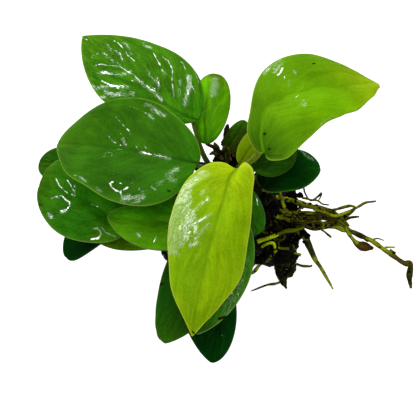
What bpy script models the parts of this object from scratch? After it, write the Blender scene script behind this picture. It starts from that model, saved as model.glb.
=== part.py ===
"""A small broad-leaved water plant (anubias) held on a porous stone by its own roots.

Metres, +Z up. The origin is the centre of the stone's flat underside.
The stone, the rhizome, every leaf with its stalk and every main root are separate closed solids.
"""

import math

import bmesh
import bpy
from mathutils import Vector, noise

UP = Vector((0, 0, 1))

# Stone: a rounded block with ridges, hollows and two swollen corners, cut flat underneath. Heights and
# depths are shares of its half length, and scales are waves or hollows to that half length.
STONE_LENGTH = 0.058
STONE_WIDTH = 0.042
STONE_HEIGHT = 0.0286
STONE_CENTRE_HEIGHT = 0.010
STONE_SQUARENESS = 0.96
STONE_FACETS = 4
BROAD_LUMPS = dict(height=0.09, scale=1.3, place=Vector((3.1, 0.4, 7.7)))
FINE_LUMPS = dict(height=0.06, scale=3.1, place=Vector((1.7, 5.2, 0.6)))
RIDGES = dict(height=0.12, scale=2.1, place=Vector((8.2, 2.6, 5.1)))
RIDGE_MIDDLE = 0.5
HOLLOWS = dict(depth=0.09, scale=3.6, place=Vector((0.3, 1.9, 4.4)), width=0.50)
STONE_CORNERS = (
    (Vector((-0.83, -0.55, -0.05)), 0.30),
    (Vector((0.80, -0.60, -0.10)), 0.24),
)
CORNER_TIGHTNESS = 8

# Rhizome: its route over the stone as points (x, y, z, share of the full radius).
RHIZOME_RADIUS = 0.0052
RHIZOME_ROUTE = (
    (-0.0075, 0.0185, 0.0380, 0.35),
    (-0.0040, 0.0155, 0.0370, 0.85),
    (0.0015, 0.0105, 0.0362, 1.00),
    (0.0075, 0.0050, 0.0355, 1.05),
    (0.0130, 0.0005, 0.0340, 1.00),
    (0.0170, -0.0030, 0.0325, 0.70),
)

# Blades
BLADE_THICKNESS = 0.0008
BLADE_ROWS = 9
BLADE_COLUMNS = 6
NECK_ANGLE = 0.14
TIP_ANGLE = 0.10
MIDRIB_SPACING = 1.2
LOBE_TIGHTNESS = 8
LOBE_SPREAD = 1.3
MARGIN_RISE = 0.12
MARGIN_DROOP = 0.15
MIDRIB_VALLEY = 0.07
VALLEY_WIDTH = 0.55

# Stalks
STALK_STEPS = 6
STALK_RISE = 0.35
STALK_LEAN = 0.15
STALK_ENTRY = 0.30
STALK_TAPER = 0.35
STALK_INTO_BLADE = 0.10

COLOURS = {
    "stone": (0.012, 0.013, 0.011),
    "rhizome": (0.075, 0.090, 0.012),
    "leaf_lime": (0.300, 0.520, 0.006),
    "leaf_light": (0.130, 0.330, 0.004),
    "leaf_green": (0.032, 0.160, 0.004),
    "leaf_dark": (0.006, 0.050, 0.003),
    "root": (0.120, 0.140, 0.010),
}
ROUGHNESS = {"stone": 0.55, "rhizome": 0.45, "root": 0.45}
LEAF_ROUGHNESS = 0.28

# One row a leaf. neck and tip are the ends of its midrib, foot is where its stalk starts. The pairs are
# (left, right) looking from neck to tip: the half widths, how fast the outline rises and falls, and how
# far the lobes sweep back past the neck. arch lifts the midrib, bend turns it, dome lifts the blade's middle.
LEAVES = (
    dict(
        name="leaf_lime", slot="leaf_lime",
        neck=(-0.0005, -0.0131, 0.0898), tip=(-0.0166, -0.0679, 0.0640), foot=(0.0000, 0.0056, 0.0403),
        half=(0.0133, 0.0180), rise=(0.95, 0.64), fall=(1.02, 1.14), lobe=(0.41, 0.27),
        arch=0.05, bend=0.02, dome=0.10, stalk=0.0014, bow=(-0.0012, -0.0004, 0.0000),
    ),
    dict(
        name="leaf_right", slot="leaf_light",
        neck=(0.0110, -0.0008, 0.0840), tip=(0.0588, 0.0343, 0.0740), foot=(0.0060, 0.0035, 0.0415),
        half=(0.0148, 0.0198), rise=(0.95, 0.62), fall=(1.44, 0.52), lobe=(0.11, 0.24),
        arch=0.14, bend=-0.21, dome=0.10, stalk=0.0013, bow=(-0.0060, 0.0020, 0.0000),
    ),
    dict(
        name="leaf_left", slot="leaf_green",
        neck=(-0.0149, -0.0024, 0.0770), tip=(-0.0736, 0.0182, 0.0520), foot=(-0.0030, 0.0090, 0.0425),
        half=(0.0225, 0.0249), rise=(0.33, 0.78), fall=(0.77, 0.72), lobe=(-0.06, 0.13),
        arch=0.10, bend=-0.03, dome=0.08, stalk=0.0014, bow=(0.0000, 0.0000, 0.0000),
    ),
    dict(
        name="leaf_top_left", slot="leaf_green",
        neck=(-0.0145, 0.0241, 0.0620), tip=(-0.0646, 0.0659, 0.0600), foot=(-0.0065, 0.0105, 0.0400),
        half=(0.0179, 0.0191), rise=(0.85, 0.60), fall=(0.90, 0.94), lobe=(0.02, 0.00),
        arch=0.03, bend=-0.01, dome=0.08, stalk=0.0013, bow=(-0.0040, -0.0038, 0.0000),
    ),
    dict(
        name="leaf_top", slot="leaf_green",
        neck=(-0.0114, 0.0173, 0.0540), tip=(-0.0087, 0.0496, 0.0560), foot=(-0.0060, 0.0185, 0.0425),
        half=(0.0084, 0.0083), rise=(0.55, 0.56), fall=(0.58, 0.41), lobe=(0.05, 0.03),
        arch=0.06, bend=0.02, dome=0.12, stalk=0.0010, bow=(0.0010, 0.0015, 0.0000),
    ),
    dict(
        name="leaf_low_left", slot="leaf_green",
        neck=(-0.0443, -0.0203, 0.0500), tip=(-0.0816, 0.0015, 0.0450), foot=(-0.0070, 0.0100, 0.0360),
        half=(0.0174, 0.0187), rise=(0.57, 0.50), fall=(0.57, 0.30), lobe=(0.11, 0.05),
        arch=0.06, bend=0.07, dome=0.07, stalk=0.0012, bow=(0.0000, 0.0000, 0.0000),
    ),
    dict(
        name="leaf_front", slot="leaf_green",
        neck=(-0.0117, -0.0245, 0.0640), tip=(-0.0509, -0.0166, 0.0580), foot=(-0.0020, 0.0040, 0.0400),
        half=(0.0103, 0.0083), rise=(0.65, 0.48), fall=(0.79, 0.55), lobe=(0.04, 0.05),
        arch=0.05, bend=-0.05, dome=0.08, stalk=0.0011, bow=(0.0000, 0.0000, 0.0000),
    ),
    dict(
        name="leaf_low_middle", slot="leaf_dark",
        neck=(-0.0231, -0.0157, 0.0420), tip=(-0.0587, -0.0171, 0.0360), foot=(-0.0045, 0.0060, 0.0350),
        half=(0.0090, 0.0100), rise=(0.50, 0.50), fall=(0.60, 0.60), lobe=(0.05, 0.05),
        arch=0.05, bend=0.00, dome=0.06, stalk=0.0010, bow=(0.0000, 0.0000, 0.0000),
    ),
    dict(
        name="leaf_far_left", slot="leaf_dark",
        neck=(-0.0521, 0.0098, 0.0440), tip=(-0.0838, 0.0163, 0.0370), foot=(-0.0100, 0.0140, 0.0370),
        half=(0.0100, 0.0095), rise=(0.50, 0.50), fall=(0.50, 0.50), lobe=(0.05, 0.05),
        arch=0.05, bend=0.00, dome=0.08, stalk=0.0010, bow=(0.0000, 0.0000, 0.0000),
    ),
    dict(
        name="leaf_floor_left", slot="leaf_dark",
        neck=(-0.0440, -0.0102, 0.0360), tip=(-0.0712, -0.0238, 0.0270), foot=(-0.0075, 0.0085, 0.0325),
        half=(0.0063, 0.0104), rise=(0.52, 0.50), fall=(0.35, 0.58), lobe=(0.06, 0.05),
        arch=0.05, bend=0.09, dome=0.08, stalk=0.0009, bow=(0.0000, 0.0000, 0.0000),
    ),
    dict(
        name="leaf_low_right", slot="leaf_green",
        neck=(-0.0018, -0.0180, 0.0700), tip=(-0.0151, -0.0634, 0.0500), foot=(0.0030, 0.0010, 0.0400),
        half=(0.0113, 0.0140), rise=(0.57, 0.50), fall=(0.84, 0.60), lobe=(0.00, 0.08),
        arch=0.06, bend=-0.07, dome=0.08, stalk=0.0012, bow=(0.0000, 0.0000, 0.0000),
    ),
    dict(
        name="leaf_bottom_left", slot="leaf_dark",
        neck=(-0.0130, -0.0270, 0.0560), tip=(-0.0277, -0.0645, 0.0400), foot=(0.0000, 0.0010, 0.0370),
        half=(0.0125, 0.0120), rise=(0.60, 0.35), fall=(0.90, 0.57), lobe=(0.05, 0.07),
        arch=0.05, bend=-0.04, dome=0.07, stalk=0.0011, bow=(0.0000, 0.0000, 0.0000),
    ),
    dict(
        name="leaf_bottom", slot="leaf_dark",
        neck=(-0.0054, -0.0344, 0.0460), tip=(-0.0093, -0.0700, 0.0300), foot=(0.0060, -0.0035, 0.0360),
        half=(0.0079, 0.0150), rise=(0.70, 0.52), fall=(0.55, 0.83), lobe=(0.01, 0.05),
        arch=0.05, bend=-0.02, dome=0.07, stalk=0.0010, bow=(0.0000, 0.0000, 0.0000),
    ),
    dict(
        name="leaf_small", slot="leaf_green",
        neck=(0.0045, -0.0058, 0.0600), tip=(0.0085, -0.0222, 0.0500), foot=(0.0095, -0.0020, 0.0400),
        half=(0.0066, 0.0045), rise=(0.56, 0.50), fall=(0.41, 0.50), lobe=(0.10, 0.05),
        arch=0.05, bend=0.04, dome=0.12, stalk=0.0009, bow=(0.0000, 0.0000, 0.0000),
    ),
    dict(
        name="leaf_under_right", slot="leaf_green",
        neck=(0.0080, 0.0035, 0.0580), tip=(0.0235, 0.0185, 0.0550), foot=(0.0100, 0.0060, 0.0415),
        half=(0.0085, 0.0100), rise=(0.50, 0.50), fall=(0.50, 0.50), lobe=(0.05, 0.05),
        arch=0.05, bend=0.00, dome=0.08, stalk=0.0010, bow=(0.0000, 0.0000, 0.0000),
    ),
    dict(
        name="leaf_far_right", slot="leaf_dark",
        neck=(0.0125, -0.0010, 0.0500), tip=(0.0372, 0.0108, 0.0440), foot=(0.0145, 0.0020, 0.0400),
        half=(0.0098, 0.0099), rise=(0.44, 0.68), fall=(0.49, 0.60), lobe=(0.05, 0.16),
        arch=0.08, bend=-0.11, dome=0.07, stalk=0.0010, bow=(0.0000, 0.0000, 0.0000),
    ),
    dict(
        name="leaf_young", slot="leaf_light",
        neck=(0.0024, 0.0060, 0.0580), tip=(0.0120, 0.0160, 0.0700), foot=(0.0040, 0.0105, 0.0418),
        half=(0.0052, 0.0052), rise=(0.50, 0.50), fall=(0.50, 0.50), lobe=(0.00, 0.00),
        arch=0.02, bend=0.00, dome=0.08, stalk=0.0009, bow=(0.0000, 0.0000, 0.0000),
    ),
    dict(
        name="leaf_bud", slot="leaf_dark",
        neck=(-0.0030, 0.0170, 0.0455), tip=(0.0056, 0.0275, 0.0550), foot=(-0.0020, 0.0150, 0.0425),
        half=(0.0042, 0.0046), rise=(0.50, 0.50), fall=(0.50, 0.50), lobe=(0.00, 0.00),
        arch=0.05, bend=0.00, dome=0.10, stalk=0.0009, bow=(0.0000, 0.0000, 0.0000),
    ),
)

# Each main root's route as points (x, y, z, radius), from the rhizome or the stone outwards.
ROOTS = {
    "root_bulb": (
        (0.0190, 0.0023, 0.0316, 0.0011), (0.0250, 0.0020, 0.0295, 0.0011),
        (0.0300, 0.0016, 0.0270, 0.0011), (0.0390, 0.0000, 0.0250, 0.0010),
        (0.0450, -0.0010, 0.0230, 0.0010), (0.0485, -0.0040, 0.0200, 0.0010),
        (0.0520, -0.0075, 0.0150, 0.0009), (0.0545, -0.0098, 0.0110, 0.0009),
        (0.0575, -0.0110, 0.0080, 0.0013), (0.0610, -0.0117, 0.0070, 0.0017),
        (0.0640, -0.0122, 0.0066, 0.0007),
    ),
    "root_long": (
        (0.0188, -0.0052, 0.0286, 0.0012), (0.0258, -0.0056, 0.0243, 0.0012),
        (0.0354, -0.0047, 0.0175, 0.0012), (0.0460, -0.0040, 0.0130, 0.0012),
        (0.0530, -0.0060, 0.0115, 0.0012), (0.0600, -0.0085, 0.0110, 0.0011),
        (0.0684, -0.0142, 0.0100, 0.0011), (0.0768, -0.0200, 0.0095, 0.0012),
        (0.0798, -0.0205, 0.0088, 0.0013), (0.0795, -0.0250, 0.0065, 0.0014),
        (0.0805, -0.0297, 0.0030, 0.0006),
    ),
    "root_middle": (
        (0.0190, -0.0016, 0.0280, 0.0010), (0.0260, -0.0018, 0.0255, 0.0010),
        (0.0320, -0.0020, 0.0230, 0.0010), (0.0400, -0.0025, 0.0195, 0.0009),
        (0.0470, -0.0020, 0.0172, 0.0008), (0.0560, -0.0005, 0.0160, 0.0005),
    ),
    "root_rising": (
        (0.0355, -0.0012, 0.0273, 0.0007), (0.0440, -0.0042, 0.0270, 0.0007),
        (0.0500, -0.0027, 0.0262, 0.0007), (0.0548, 0.0001, 0.0262, 0.0006),
        (0.0587, 0.0016, 0.0270, 0.0006), (0.0629, 0.0021, 0.0280, 0.0004),
    ),
    "root_upright": (
        (0.0225, -0.0020, 0.0310, 0.0007), (0.0206, 0.0012, 0.0340, 0.0007),
        (0.0200, 0.0037, 0.0372, 0.0006), (0.0205, 0.0065, 0.0405, 0.0004),
    ),
    "root_bright": (
        (0.0095, -0.0135, 0.0262, 0.0010), (0.0150, -0.0136, 0.0250, 0.0010),
        (0.0190, -0.0124, 0.0245, 0.0010), (0.0230, -0.0104, 0.0235, 0.0010),
        (0.0275, -0.0090, 0.0220, 0.0009), (0.0325, -0.0078, 0.0210, 0.0006),
    ),
    "root_hook": (
        (0.0114, -0.0194, 0.0204, 0.0008), (0.0131, -0.0179, 0.0226, 0.0008),
        (0.0166, -0.0166, 0.0226, 0.0008), (0.0190, -0.0179, 0.0200, 0.0005),
    ),
    "root_lower": (
        (0.0308, -0.0080, 0.0194, 0.0010), (0.0325, -0.0094, 0.0162, 0.0010),
        (0.0341, -0.0119, 0.0130, 0.0010), (0.0373, -0.0179, 0.0100, 0.0009),
        (0.0404, -0.0229, 0.0080, 0.0008), (0.0436, -0.0271, 0.0050, 0.0006),
        (0.0455, -0.0302, 0.0030, 0.0004),
    ),
    "root_clump": (
        (0.0244, -0.0213, 0.0146, 0.0029), (0.0248, -0.0220, 0.0104, 0.0038),
        (0.0252, -0.0252, 0.0062, 0.0028), (0.0256, -0.0304, 0.0022, 0.0004),
    ),
    "root_trailing": (
        (0.0235, -0.0262, 0.0030, 0.0007), (0.0195, -0.0275, 0.0026, 0.0006),
        (0.0150, -0.0286, 0.0024, 0.0005), (0.0088, -0.0308, 0.0020, 0.0003),
    ),
    "root_side": (
        (0.0290, -0.0198, 0.0075, 0.0006), (0.0325, -0.0207, 0.0066, 0.0006),
        (0.0353, -0.0208, 0.0060, 0.0005), (0.0362, -0.0200, 0.0058, 0.0004),
    ),
}


def clear_scene():
    for thing in list(bpy.data.objects):
        bpy.data.objects.remove(thing, do_unlink=True)


def material(slot):
    """The Principled BSDF material of one slot, made once."""
    if slot in bpy.data.materials:
        return bpy.data.materials[slot]
    made = bpy.data.materials.new(slot)
    made.use_nodes = True
    shader = made.node_tree.nodes["Principled BSDF"]
    shader.inputs["Base Color"].default_value = (*COLOURS[slot], 1.0)
    shader.inputs["Roughness"].default_value = ROUGHNESS.get(slot, LEAF_ROUGHNESS)
    made.diffuse_color = (*COLOURS[slot], 1.0)
    return made


def add_object(name, data, slot):
    thing = bpy.data.objects.new(name, data)
    bpy.context.scene.collection.objects.link(thing)
    data.materials.append(material(slot))
    return thing


def tube_curve(name, points, roundness, steps):
    """A round curve through points (x, y, z, radius), with filled ends."""
    curve = bpy.data.curves.new(name, "CURVE")
    curve.dimensions = "3D"
    curve.bevel_depth = 1.0
    curve.bevel_resolution = roundness
    curve.resolution_u = steps
    curve.use_fill_caps = True
    spline = curve.splines.new("BEZIER")
    spline.bezier_points.add(len(points) - 1)
    for knot, (x, y, z, radius) in zip(spline.bezier_points, points):
        knot.co = (x, y, z)
        knot.radius = radius
        knot.handle_left_type = "AUTO"
        knot.handle_right_type = "AUTO"
    return curve


def mesh_of_curve(name, curve):
    """The curve's surface as one closed mesh, for use as a Boolean operand."""
    holder = bpy.data.objects.new(name + "_route", curve)
    bpy.context.scene.collection.objects.link(holder)
    bpy.context.view_layer.update()
    graph = bpy.context.evaluated_depsgraph_get()
    mesh = bpy.data.meshes.new_from_object(holder.evaluated_get(graph))
    bpy.data.objects.remove(holder, do_unlink=True)
    bm = bmesh.new()
    bm.from_mesh(mesh)
    bmesh.ops.remove_doubles(bm, verts=bm.verts, dist=0.00001)
    bmesh.ops.recalc_face_normals(bm, faces=bm.faces)
    bm.to_mesh(mesh)
    bm.free()
    return mesh


def crest(along, rise, fall):
    """A blade's half width from 0 at both ends to 1 at its widest place."""
    peak = rise / (rise + fall)
    highest = peak ** rise * (1 - peak) ** fall
    return along ** rise * (1 - along) ** fall / highest


def right_hand(leaf):
    """The level direction to the right of the leaf's chord, looking from neck to tip."""
    chord = Vector(leaf["tip"]) - Vector(leaf["neck"])
    return chord.cross(UP).normalized()


def midrib(leaf, along):
    """Point and direction of the midrib, a quadratic curve from neck to tip, carried on straight before it."""
    neck = Vector(leaf["neck"])
    tip = Vector(leaf["tip"])
    length = (tip - neck).length
    right = right_hand(leaf)
    face = right.cross((tip - neck).normalized())
    control = (neck + tip) / 2 + (face * leaf["arch"] + right * leaf["bend"]) * (2 * length)
    inside = min(max(along, 0.0), 1.0)
    point = neck * (1 - inside) ** 2 + control * (2 * inside * (1 - inside)) + tip * inside ** 2
    direction = ((control - neck) * (1 - inside) + (tip - control) * inside).normalized()
    return point + direction * (min(along, 0.0) * length), direction


def blade_point(leaf, down, across):
    """Point of the blade: down goes 0 to 1 from neck to tip, across goes -1 to 1 from left to right margin."""
    hand = 0 if across < 0 else 1
    out = abs(across)
    angle = NECK_ANGLE + (math.pi - NECK_ANGLE - TIP_ANGLE) * down
    even = (1 - math.cos(angle)) / 2
    spreads = [crest(even, leaf["rise"][side], leaf["fall"][side]) for side in (0, 1)]
    widths = [spreads[side] * leaf["half"][side] for side in (0, 1)]
    swept = even - leaf["lobe"][hand] * math.sin(angle) * math.cos(angle / 2) ** LOBE_TIGHTNESS
    middle = even ** MIDRIB_SPACING
    point, direction = midrib(leaf, middle + (swept - middle) * out ** LOBE_SPREAD)
    right = right_hand(leaf)
    outward = (right - direction * right.dot(direction)).normalized()
    face = outward.cross(direction)
    margin = widths[hand] * out * (MARGIN_RISE - MARGIN_DROOP * spreads[hand] * out)
    valley = MIDRIB_VALLEY * max(0.0, 1 - out / VALLEY_WIDTH) ** 2
    crown = (leaf["dome"] * (1 - out ** 2) - valley) * (widths[0] + widths[1]) / 2
    return point + outward * (widths[hand] * across) + face * (margin + crown)


def stalk_points(leaf):
    """Route of the leaf's stalk: up from the rhizome, then over into the blade's underside."""
    foot = Vector(leaf["foot"])
    neck, direction = midrib(leaf, 0.0)
    bow = Vector(leaf["bow"])
    reach = (neck - foot).length
    lean = Vector((neck.x - foot.x, neck.y - foot.y, 0.0)) * STALK_LEAN
    first = foot + UP * (reach * STALK_RISE) + lean + bow
    last = neck - (direction + UP) * (reach * STALK_ENTRY / 2) + bow
    end = blade_point(leaf, STALK_INTO_BLADE, 0.0)
    points = []
    for step in range(STALK_STEPS + 1):
        t = step / STALK_STEPS
        lower = foot * (1 - t) ** 3 + first * (3 * t * (1 - t) ** 2)
        upper = last * (3 * t ** 2 * (1 - t)) + end * t ** 3
        points.append((*(lower + upper), leaf["stalk"] * (1 - STALK_TAPER * t)))
    return points


def build_leaf(leaf):
    name = leaf["name"]
    bm = bmesh.new()
    bmesh.ops.create_grid(bm, x_segments=BLADE_COLUMNS, y_segments=BLADE_ROWS, size=1.0)
    for vert in bm.verts:
        vert.co = blade_point(leaf, (vert.co.y + 1) / 2, vert.co.x)
    bmesh.ops.recalc_face_normals(bm, faces=bm.faces)
    mesh = bpy.data.meshes.new(name)
    bm.to_mesh(mesh)
    bm.free()
    mesh.shade_smooth()
    thing = add_object(name, mesh, leaf["slot"])
    shell = thing.modifiers.new("blade_thickness", "SOLIDIFY")
    shell.thickness = BLADE_THICKNESS
    shell.offset = 0.0
    curve = tube_curve(name + "_stalk", stalk_points(leaf), 1, 1)
    stalk = add_object(name + "_stalk", mesh_of_curve(name + "_stalk", curve), leaf["slot"])
    stalk.hide_render = True
    stalk.display_type = "WIRE"
    join = thing.modifiers.new("stalk", "BOOLEAN")
    join.operation = "UNION"
    join.solver = "EXACT"
    join.object = stalk


def stone_swell(direction):
    """How far the stone's surface stands out in a direction, as a factor of its plain rounded block."""
    size = 1.0
    for lumps in (BROAD_LUMPS, FINE_LUMPS):
        size += lumps["height"] * noise.noise(direction * lumps["scale"] + lumps["place"])
    ridge = 1 - 2 * abs(noise.noise(direction * RIDGES["scale"] + RIDGES["place"]))
    size += RIDGES["height"] * (ridge - RIDGE_MIDDLE)
    nearest = noise.voronoi(direction * HOLLOWS["scale"] + HOLLOWS["place"])[0][0]
    size -= HOLLOWS["depth"] * max(0.0, 1 - (nearest / HOLLOWS["width"]) ** 2)
    for corner, swell in STONE_CORNERS:
        size += swell * max(0.0, direction.dot(corner.normalized())) ** CORNER_TIGHTNESS
    return size


def build_stone():
    bm = bmesh.new()
    bmesh.ops.create_icosphere(bm, subdivisions=STONE_FACETS, radius=1.0)
    centre = Vector((0, 0, STONE_CENTRE_HEIGHT))
    half = Vector((STONE_LENGTH / 2, STONE_WIDTH / 2, STONE_HEIGHT - STONE_CENTRE_HEIGHT))
    for vert in bm.verts:
        direction = vert.co.normalized()
        squared = Vector([math.copysign(abs(part) ** STONE_SQUARENESS, part) for part in direction])
        vert.co = centre + squared * half * stone_swell(direction)
    whole = bm.verts[:] + bm.edges[:] + bm.faces[:]
    cut = bmesh.ops.bisect_plane(bm, geom=whole, plane_co=(0, 0, 0), plane_no=UP, clear_inner=True)
    rim = [part for part in cut["geom_cut"] if isinstance(part, bmesh.types.BMEdge)]
    bmesh.ops.edgeloop_fill(bm, edges=rim)
    bmesh.ops.recalc_face_normals(bm, faces=bm.faces)
    mesh = bpy.data.meshes.new("stone")
    bm.to_mesh(mesh)
    bm.free()
    add_object("stone", mesh, "stone")


def build_rhizome():
    points = [(x, y, z, RHIZOME_RADIUS * share) for x, y, z, share in RHIZOME_ROUTE]
    add_object("rhizome", tube_curve("rhizome", points, 3, 4), "rhizome")


def build_roots():
    for name, points in ROOTS.items():
        add_object(name, tube_curve(name, points, 1, 2), "root")


clear_scene()
build_stone()
build_rhizome()
for leaf_row in LEAVES:
    build_leaf(leaf_row)
build_roots()
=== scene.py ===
"""The looks of a small broad-leaved water plant (anubias) whose own roots hold it on a porous stone."""

import math
import random

import bmesh
import bpy
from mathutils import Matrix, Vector, noise
from mathutils.geometry import intersect_point_line


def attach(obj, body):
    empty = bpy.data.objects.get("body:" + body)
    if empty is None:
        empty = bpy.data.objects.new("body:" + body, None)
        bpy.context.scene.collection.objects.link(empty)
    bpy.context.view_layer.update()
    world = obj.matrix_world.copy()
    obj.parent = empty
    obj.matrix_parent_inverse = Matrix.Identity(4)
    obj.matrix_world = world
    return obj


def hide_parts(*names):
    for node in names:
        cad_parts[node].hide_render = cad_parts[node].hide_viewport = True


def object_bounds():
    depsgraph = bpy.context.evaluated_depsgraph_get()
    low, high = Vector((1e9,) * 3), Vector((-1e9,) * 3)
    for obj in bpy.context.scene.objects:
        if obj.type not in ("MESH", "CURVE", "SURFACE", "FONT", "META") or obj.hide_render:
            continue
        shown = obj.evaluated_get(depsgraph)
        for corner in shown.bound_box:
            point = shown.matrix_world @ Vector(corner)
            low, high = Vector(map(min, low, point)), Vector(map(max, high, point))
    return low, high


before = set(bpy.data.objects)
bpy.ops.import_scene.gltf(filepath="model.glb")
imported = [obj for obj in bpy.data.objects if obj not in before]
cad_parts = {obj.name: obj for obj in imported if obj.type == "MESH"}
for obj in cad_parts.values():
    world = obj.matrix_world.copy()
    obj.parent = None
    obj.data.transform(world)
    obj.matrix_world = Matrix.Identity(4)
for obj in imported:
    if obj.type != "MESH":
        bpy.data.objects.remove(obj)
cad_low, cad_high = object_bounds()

BODY = "root"
MM = 0.001
THINNEST = 0.1 * MM        # the least radius of a root or a stem
UP = Vector((0, 0, 1))
NOISE_SEED = 4
noise.seed_set(NOISE_SEED)        # without it, the vector noise starts from the clock


def in_metres(values):
    """Values in millimetres as a vector in metres."""
    return Vector([value * MM for value in values])


# ---- Camera, floor and light ----

CAMERA_PLACE = Vector((-0.0105, -0.16146, 0.42478))
CAMERA_TILT = math.radians(22)
CAMERA_LENS = 85
FLOOR_SIZE = 12.0
FLOOR_COLOUR = (0.30, 0.30, 0.295, 1.0)
FLOOR_GLOW = 0.95
WHITE = (1.0, 1.0, 1.0, 1.0)

# One row a softbox: the direction from the plant to it, its distance, its width and its power in watts.
SOFTBOXES = {
    "key": (Vector((-0.36, 0.48, 0.80)), 0.60, 0.09, 1.0),
    "back": (Vector((-0.04, 0.66, 0.66)), 0.75, 0.52, 4.0),
    "left": (Vector((-0.62, 0.36, 0.62)), 0.75, 0.52, 4.0),
    "over": (Vector((-0.33, -0.24, 0.88)), 0.70, 0.34, 1.7),
    "front": (Vector((0.10, -0.86, 0.50)), 0.80, 0.50, 2.2),
    "right": (Vector((0.80, -0.15, 0.55)), 0.80, 0.50, 2.4),
}
SKY_STRENGTH = 0.10


def link(thing):
    bpy.context.scene.collection.objects.link(thing)
    return thing


def aim(thing, place, target):
    thing.location = place
    thing.rotation_mode = "QUATERNION"
    thing.rotation_quaternion = (target - place).to_track_quat("-Z", "Y")


def set_camera():
    lens = bpy.data.cameras.new("camera")
    lens.lens = CAMERA_LENS
    lens.sensor_width = 36
    lens.clip_start = 0.01
    camera = link(bpy.data.objects.new("camera", lens))
    camera.location = CAMERA_PLACE
    camera.rotation_euler = (CAMERA_TILT, 0, 0)
    bpy.context.scene.camera = camera


def set_lights():
    middle = (cad_low + cad_high) / 2
    for name, (way, distance, width, watts) in SOFTBOXES.items():
        lamp = bpy.data.lights.new(name, "AREA")
        lamp.shape = "SQUARE"
        lamp.size = width
        lamp.energy = watts
        aim(link(bpy.data.objects.new(name, lamp)), middle + way.normalized() * distance, middle)
    world = bpy.data.worlds.new("studio")
    world.use_nodes = True
    sky = world.node_tree.nodes["Background"]
    sky.inputs["Color"].default_value = WHITE
    sky.inputs["Strength"].default_value = SKY_STRENGTH
    bpy.context.scene.world = world
    bpy.context.scene.view_settings.view_transform = "Standard"


def set_floor():
    bm = bmesh.new()
    bmesh.ops.create_grid(bm, x_segments=1, y_segments=1, size=FLOOR_SIZE / 2)
    mesh = bpy.data.meshes.new("floor")
    bm.to_mesh(mesh)
    bm.free()
    mesh.materials.append(Finish("floor").surface({
        "Base Color": FLOOR_COLOUR, "Roughness": 0.9, "Specular IOR Level": 0.0,
        "Emission Color": WHITE, "Emission Strength": FLOOR_GLOW}))
    link(bpy.data.objects.new("floor", mesh))


# ---- Shader maths ----


class Wire:
    """A value inside a shader. Arithmetic on it adds the Math nodes."""

    def __init__(self, finish, socket):
        self.finish = finish
        self.socket = socket

    def __add__(self, other):
        return self.finish.math("ADD", self, other)

    def __radd__(self, other):
        return self.finish.math("ADD", other, self)

    def __sub__(self, other):
        return self.finish.math("SUBTRACT", self, other)

    def __rsub__(self, other):
        return self.finish.math("SUBTRACT", other, self)

    def __mul__(self, other):
        return self.finish.math("MULTIPLY", self, other)

    def __pow__(self, other):
        return self.finish.math("POWER", self, other)

    def __abs__(self):
        return self.finish.math("ABSOLUTE", self)


class Finish:
    """A material whose nodes all come from one method, node()."""

    def __init__(self, name):
        self.material = bpy.data.materials.new(name)
        self.material.use_nodes = True
        self.tree = self.material.node_tree
        self.tree.nodes.clear()

    def node(self, kind, settings=None, values=None, out=0):
        made = self.tree.nodes.new(kind)
        for key, value in (settings or {}).items():
            setattr(made, key, value)
        for key, value in (values or {}).items():
            if isinstance(value, Wire):
                self.tree.links.new(value.socket, made.inputs[key])
            else:
                made.inputs[key].default_value = value
        return Wire(self, made.outputs[out]) if made.outputs else made

    def math(self, operation, *values):
        return self.node("ShaderNodeMath", {"operation": operation}, dict(enumerate(values)))

    def parts(self, vector):
        first = self.node("ShaderNodeSeparateXYZ", {}, {0: vector})
        return [Wire(self, socket) for socket in first.socket.node.outputs]

    def vector(self, x, y, z):
        return self.node("ShaderNodeCombineXYZ", {}, {0: x, 1: y, 2: z})

    def smooth(self, value, low, high):
        """0 below low, 1 above high, with a smooth step between them."""
        settings = {"interpolation_type": "SMOOTHSTEP"}
        return self.node("ShaderNodeMapRange", settings, {0: value, 1: low, 2: high, 3: 0.0, 4: 1.0})

    def mix(self, share, first, second):
        """first where share is 0 and second where it is 1, both colours."""
        ends = [(*end, 1.0) if isinstance(end, tuple) else end for end in (first, second)]
        settings = {"data_type": "RGBA", "clamp_factor": True}
        return self.node("ShaderNodeMix", settings, {0: share, 6: ends[0], 7: ends[1]}, out=2)

    def dim(self, colour, factor):
        return self.node("ShaderNodeVectorMath", {"operation": "SCALE"}, {0: colour, "Scale": factor})

    def noise(self, place, scale, detail=2.0, warp=0.0):
        values = {"Vector": place, "Scale": scale, "Detail": detail, "Distortion": warp}
        return self.node("ShaderNodeTexNoise", {}, values)

    def cells(self, place, scale):
        return self.node("ShaderNodeTexVoronoi", {}, {"Vector": place, "Scale": scale})

    def place(self):
        return self.node("ShaderNodeTexCoord", out="Object")

    def surface(self, values, height=None):
        """Ends the material. height is the relief in millimetres."""
        if height is not None:
            values["Normal"] = self.node("ShaderNodeBump", {}, {"Distance": MM, "Height": height})
        skin = self.node("ShaderNodeBsdfPrincipled", {}, values)
        self.node("ShaderNodeOutputMaterial", {}, {"Surface": skin})
        return self.material


# ---- Leaves ----

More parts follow.
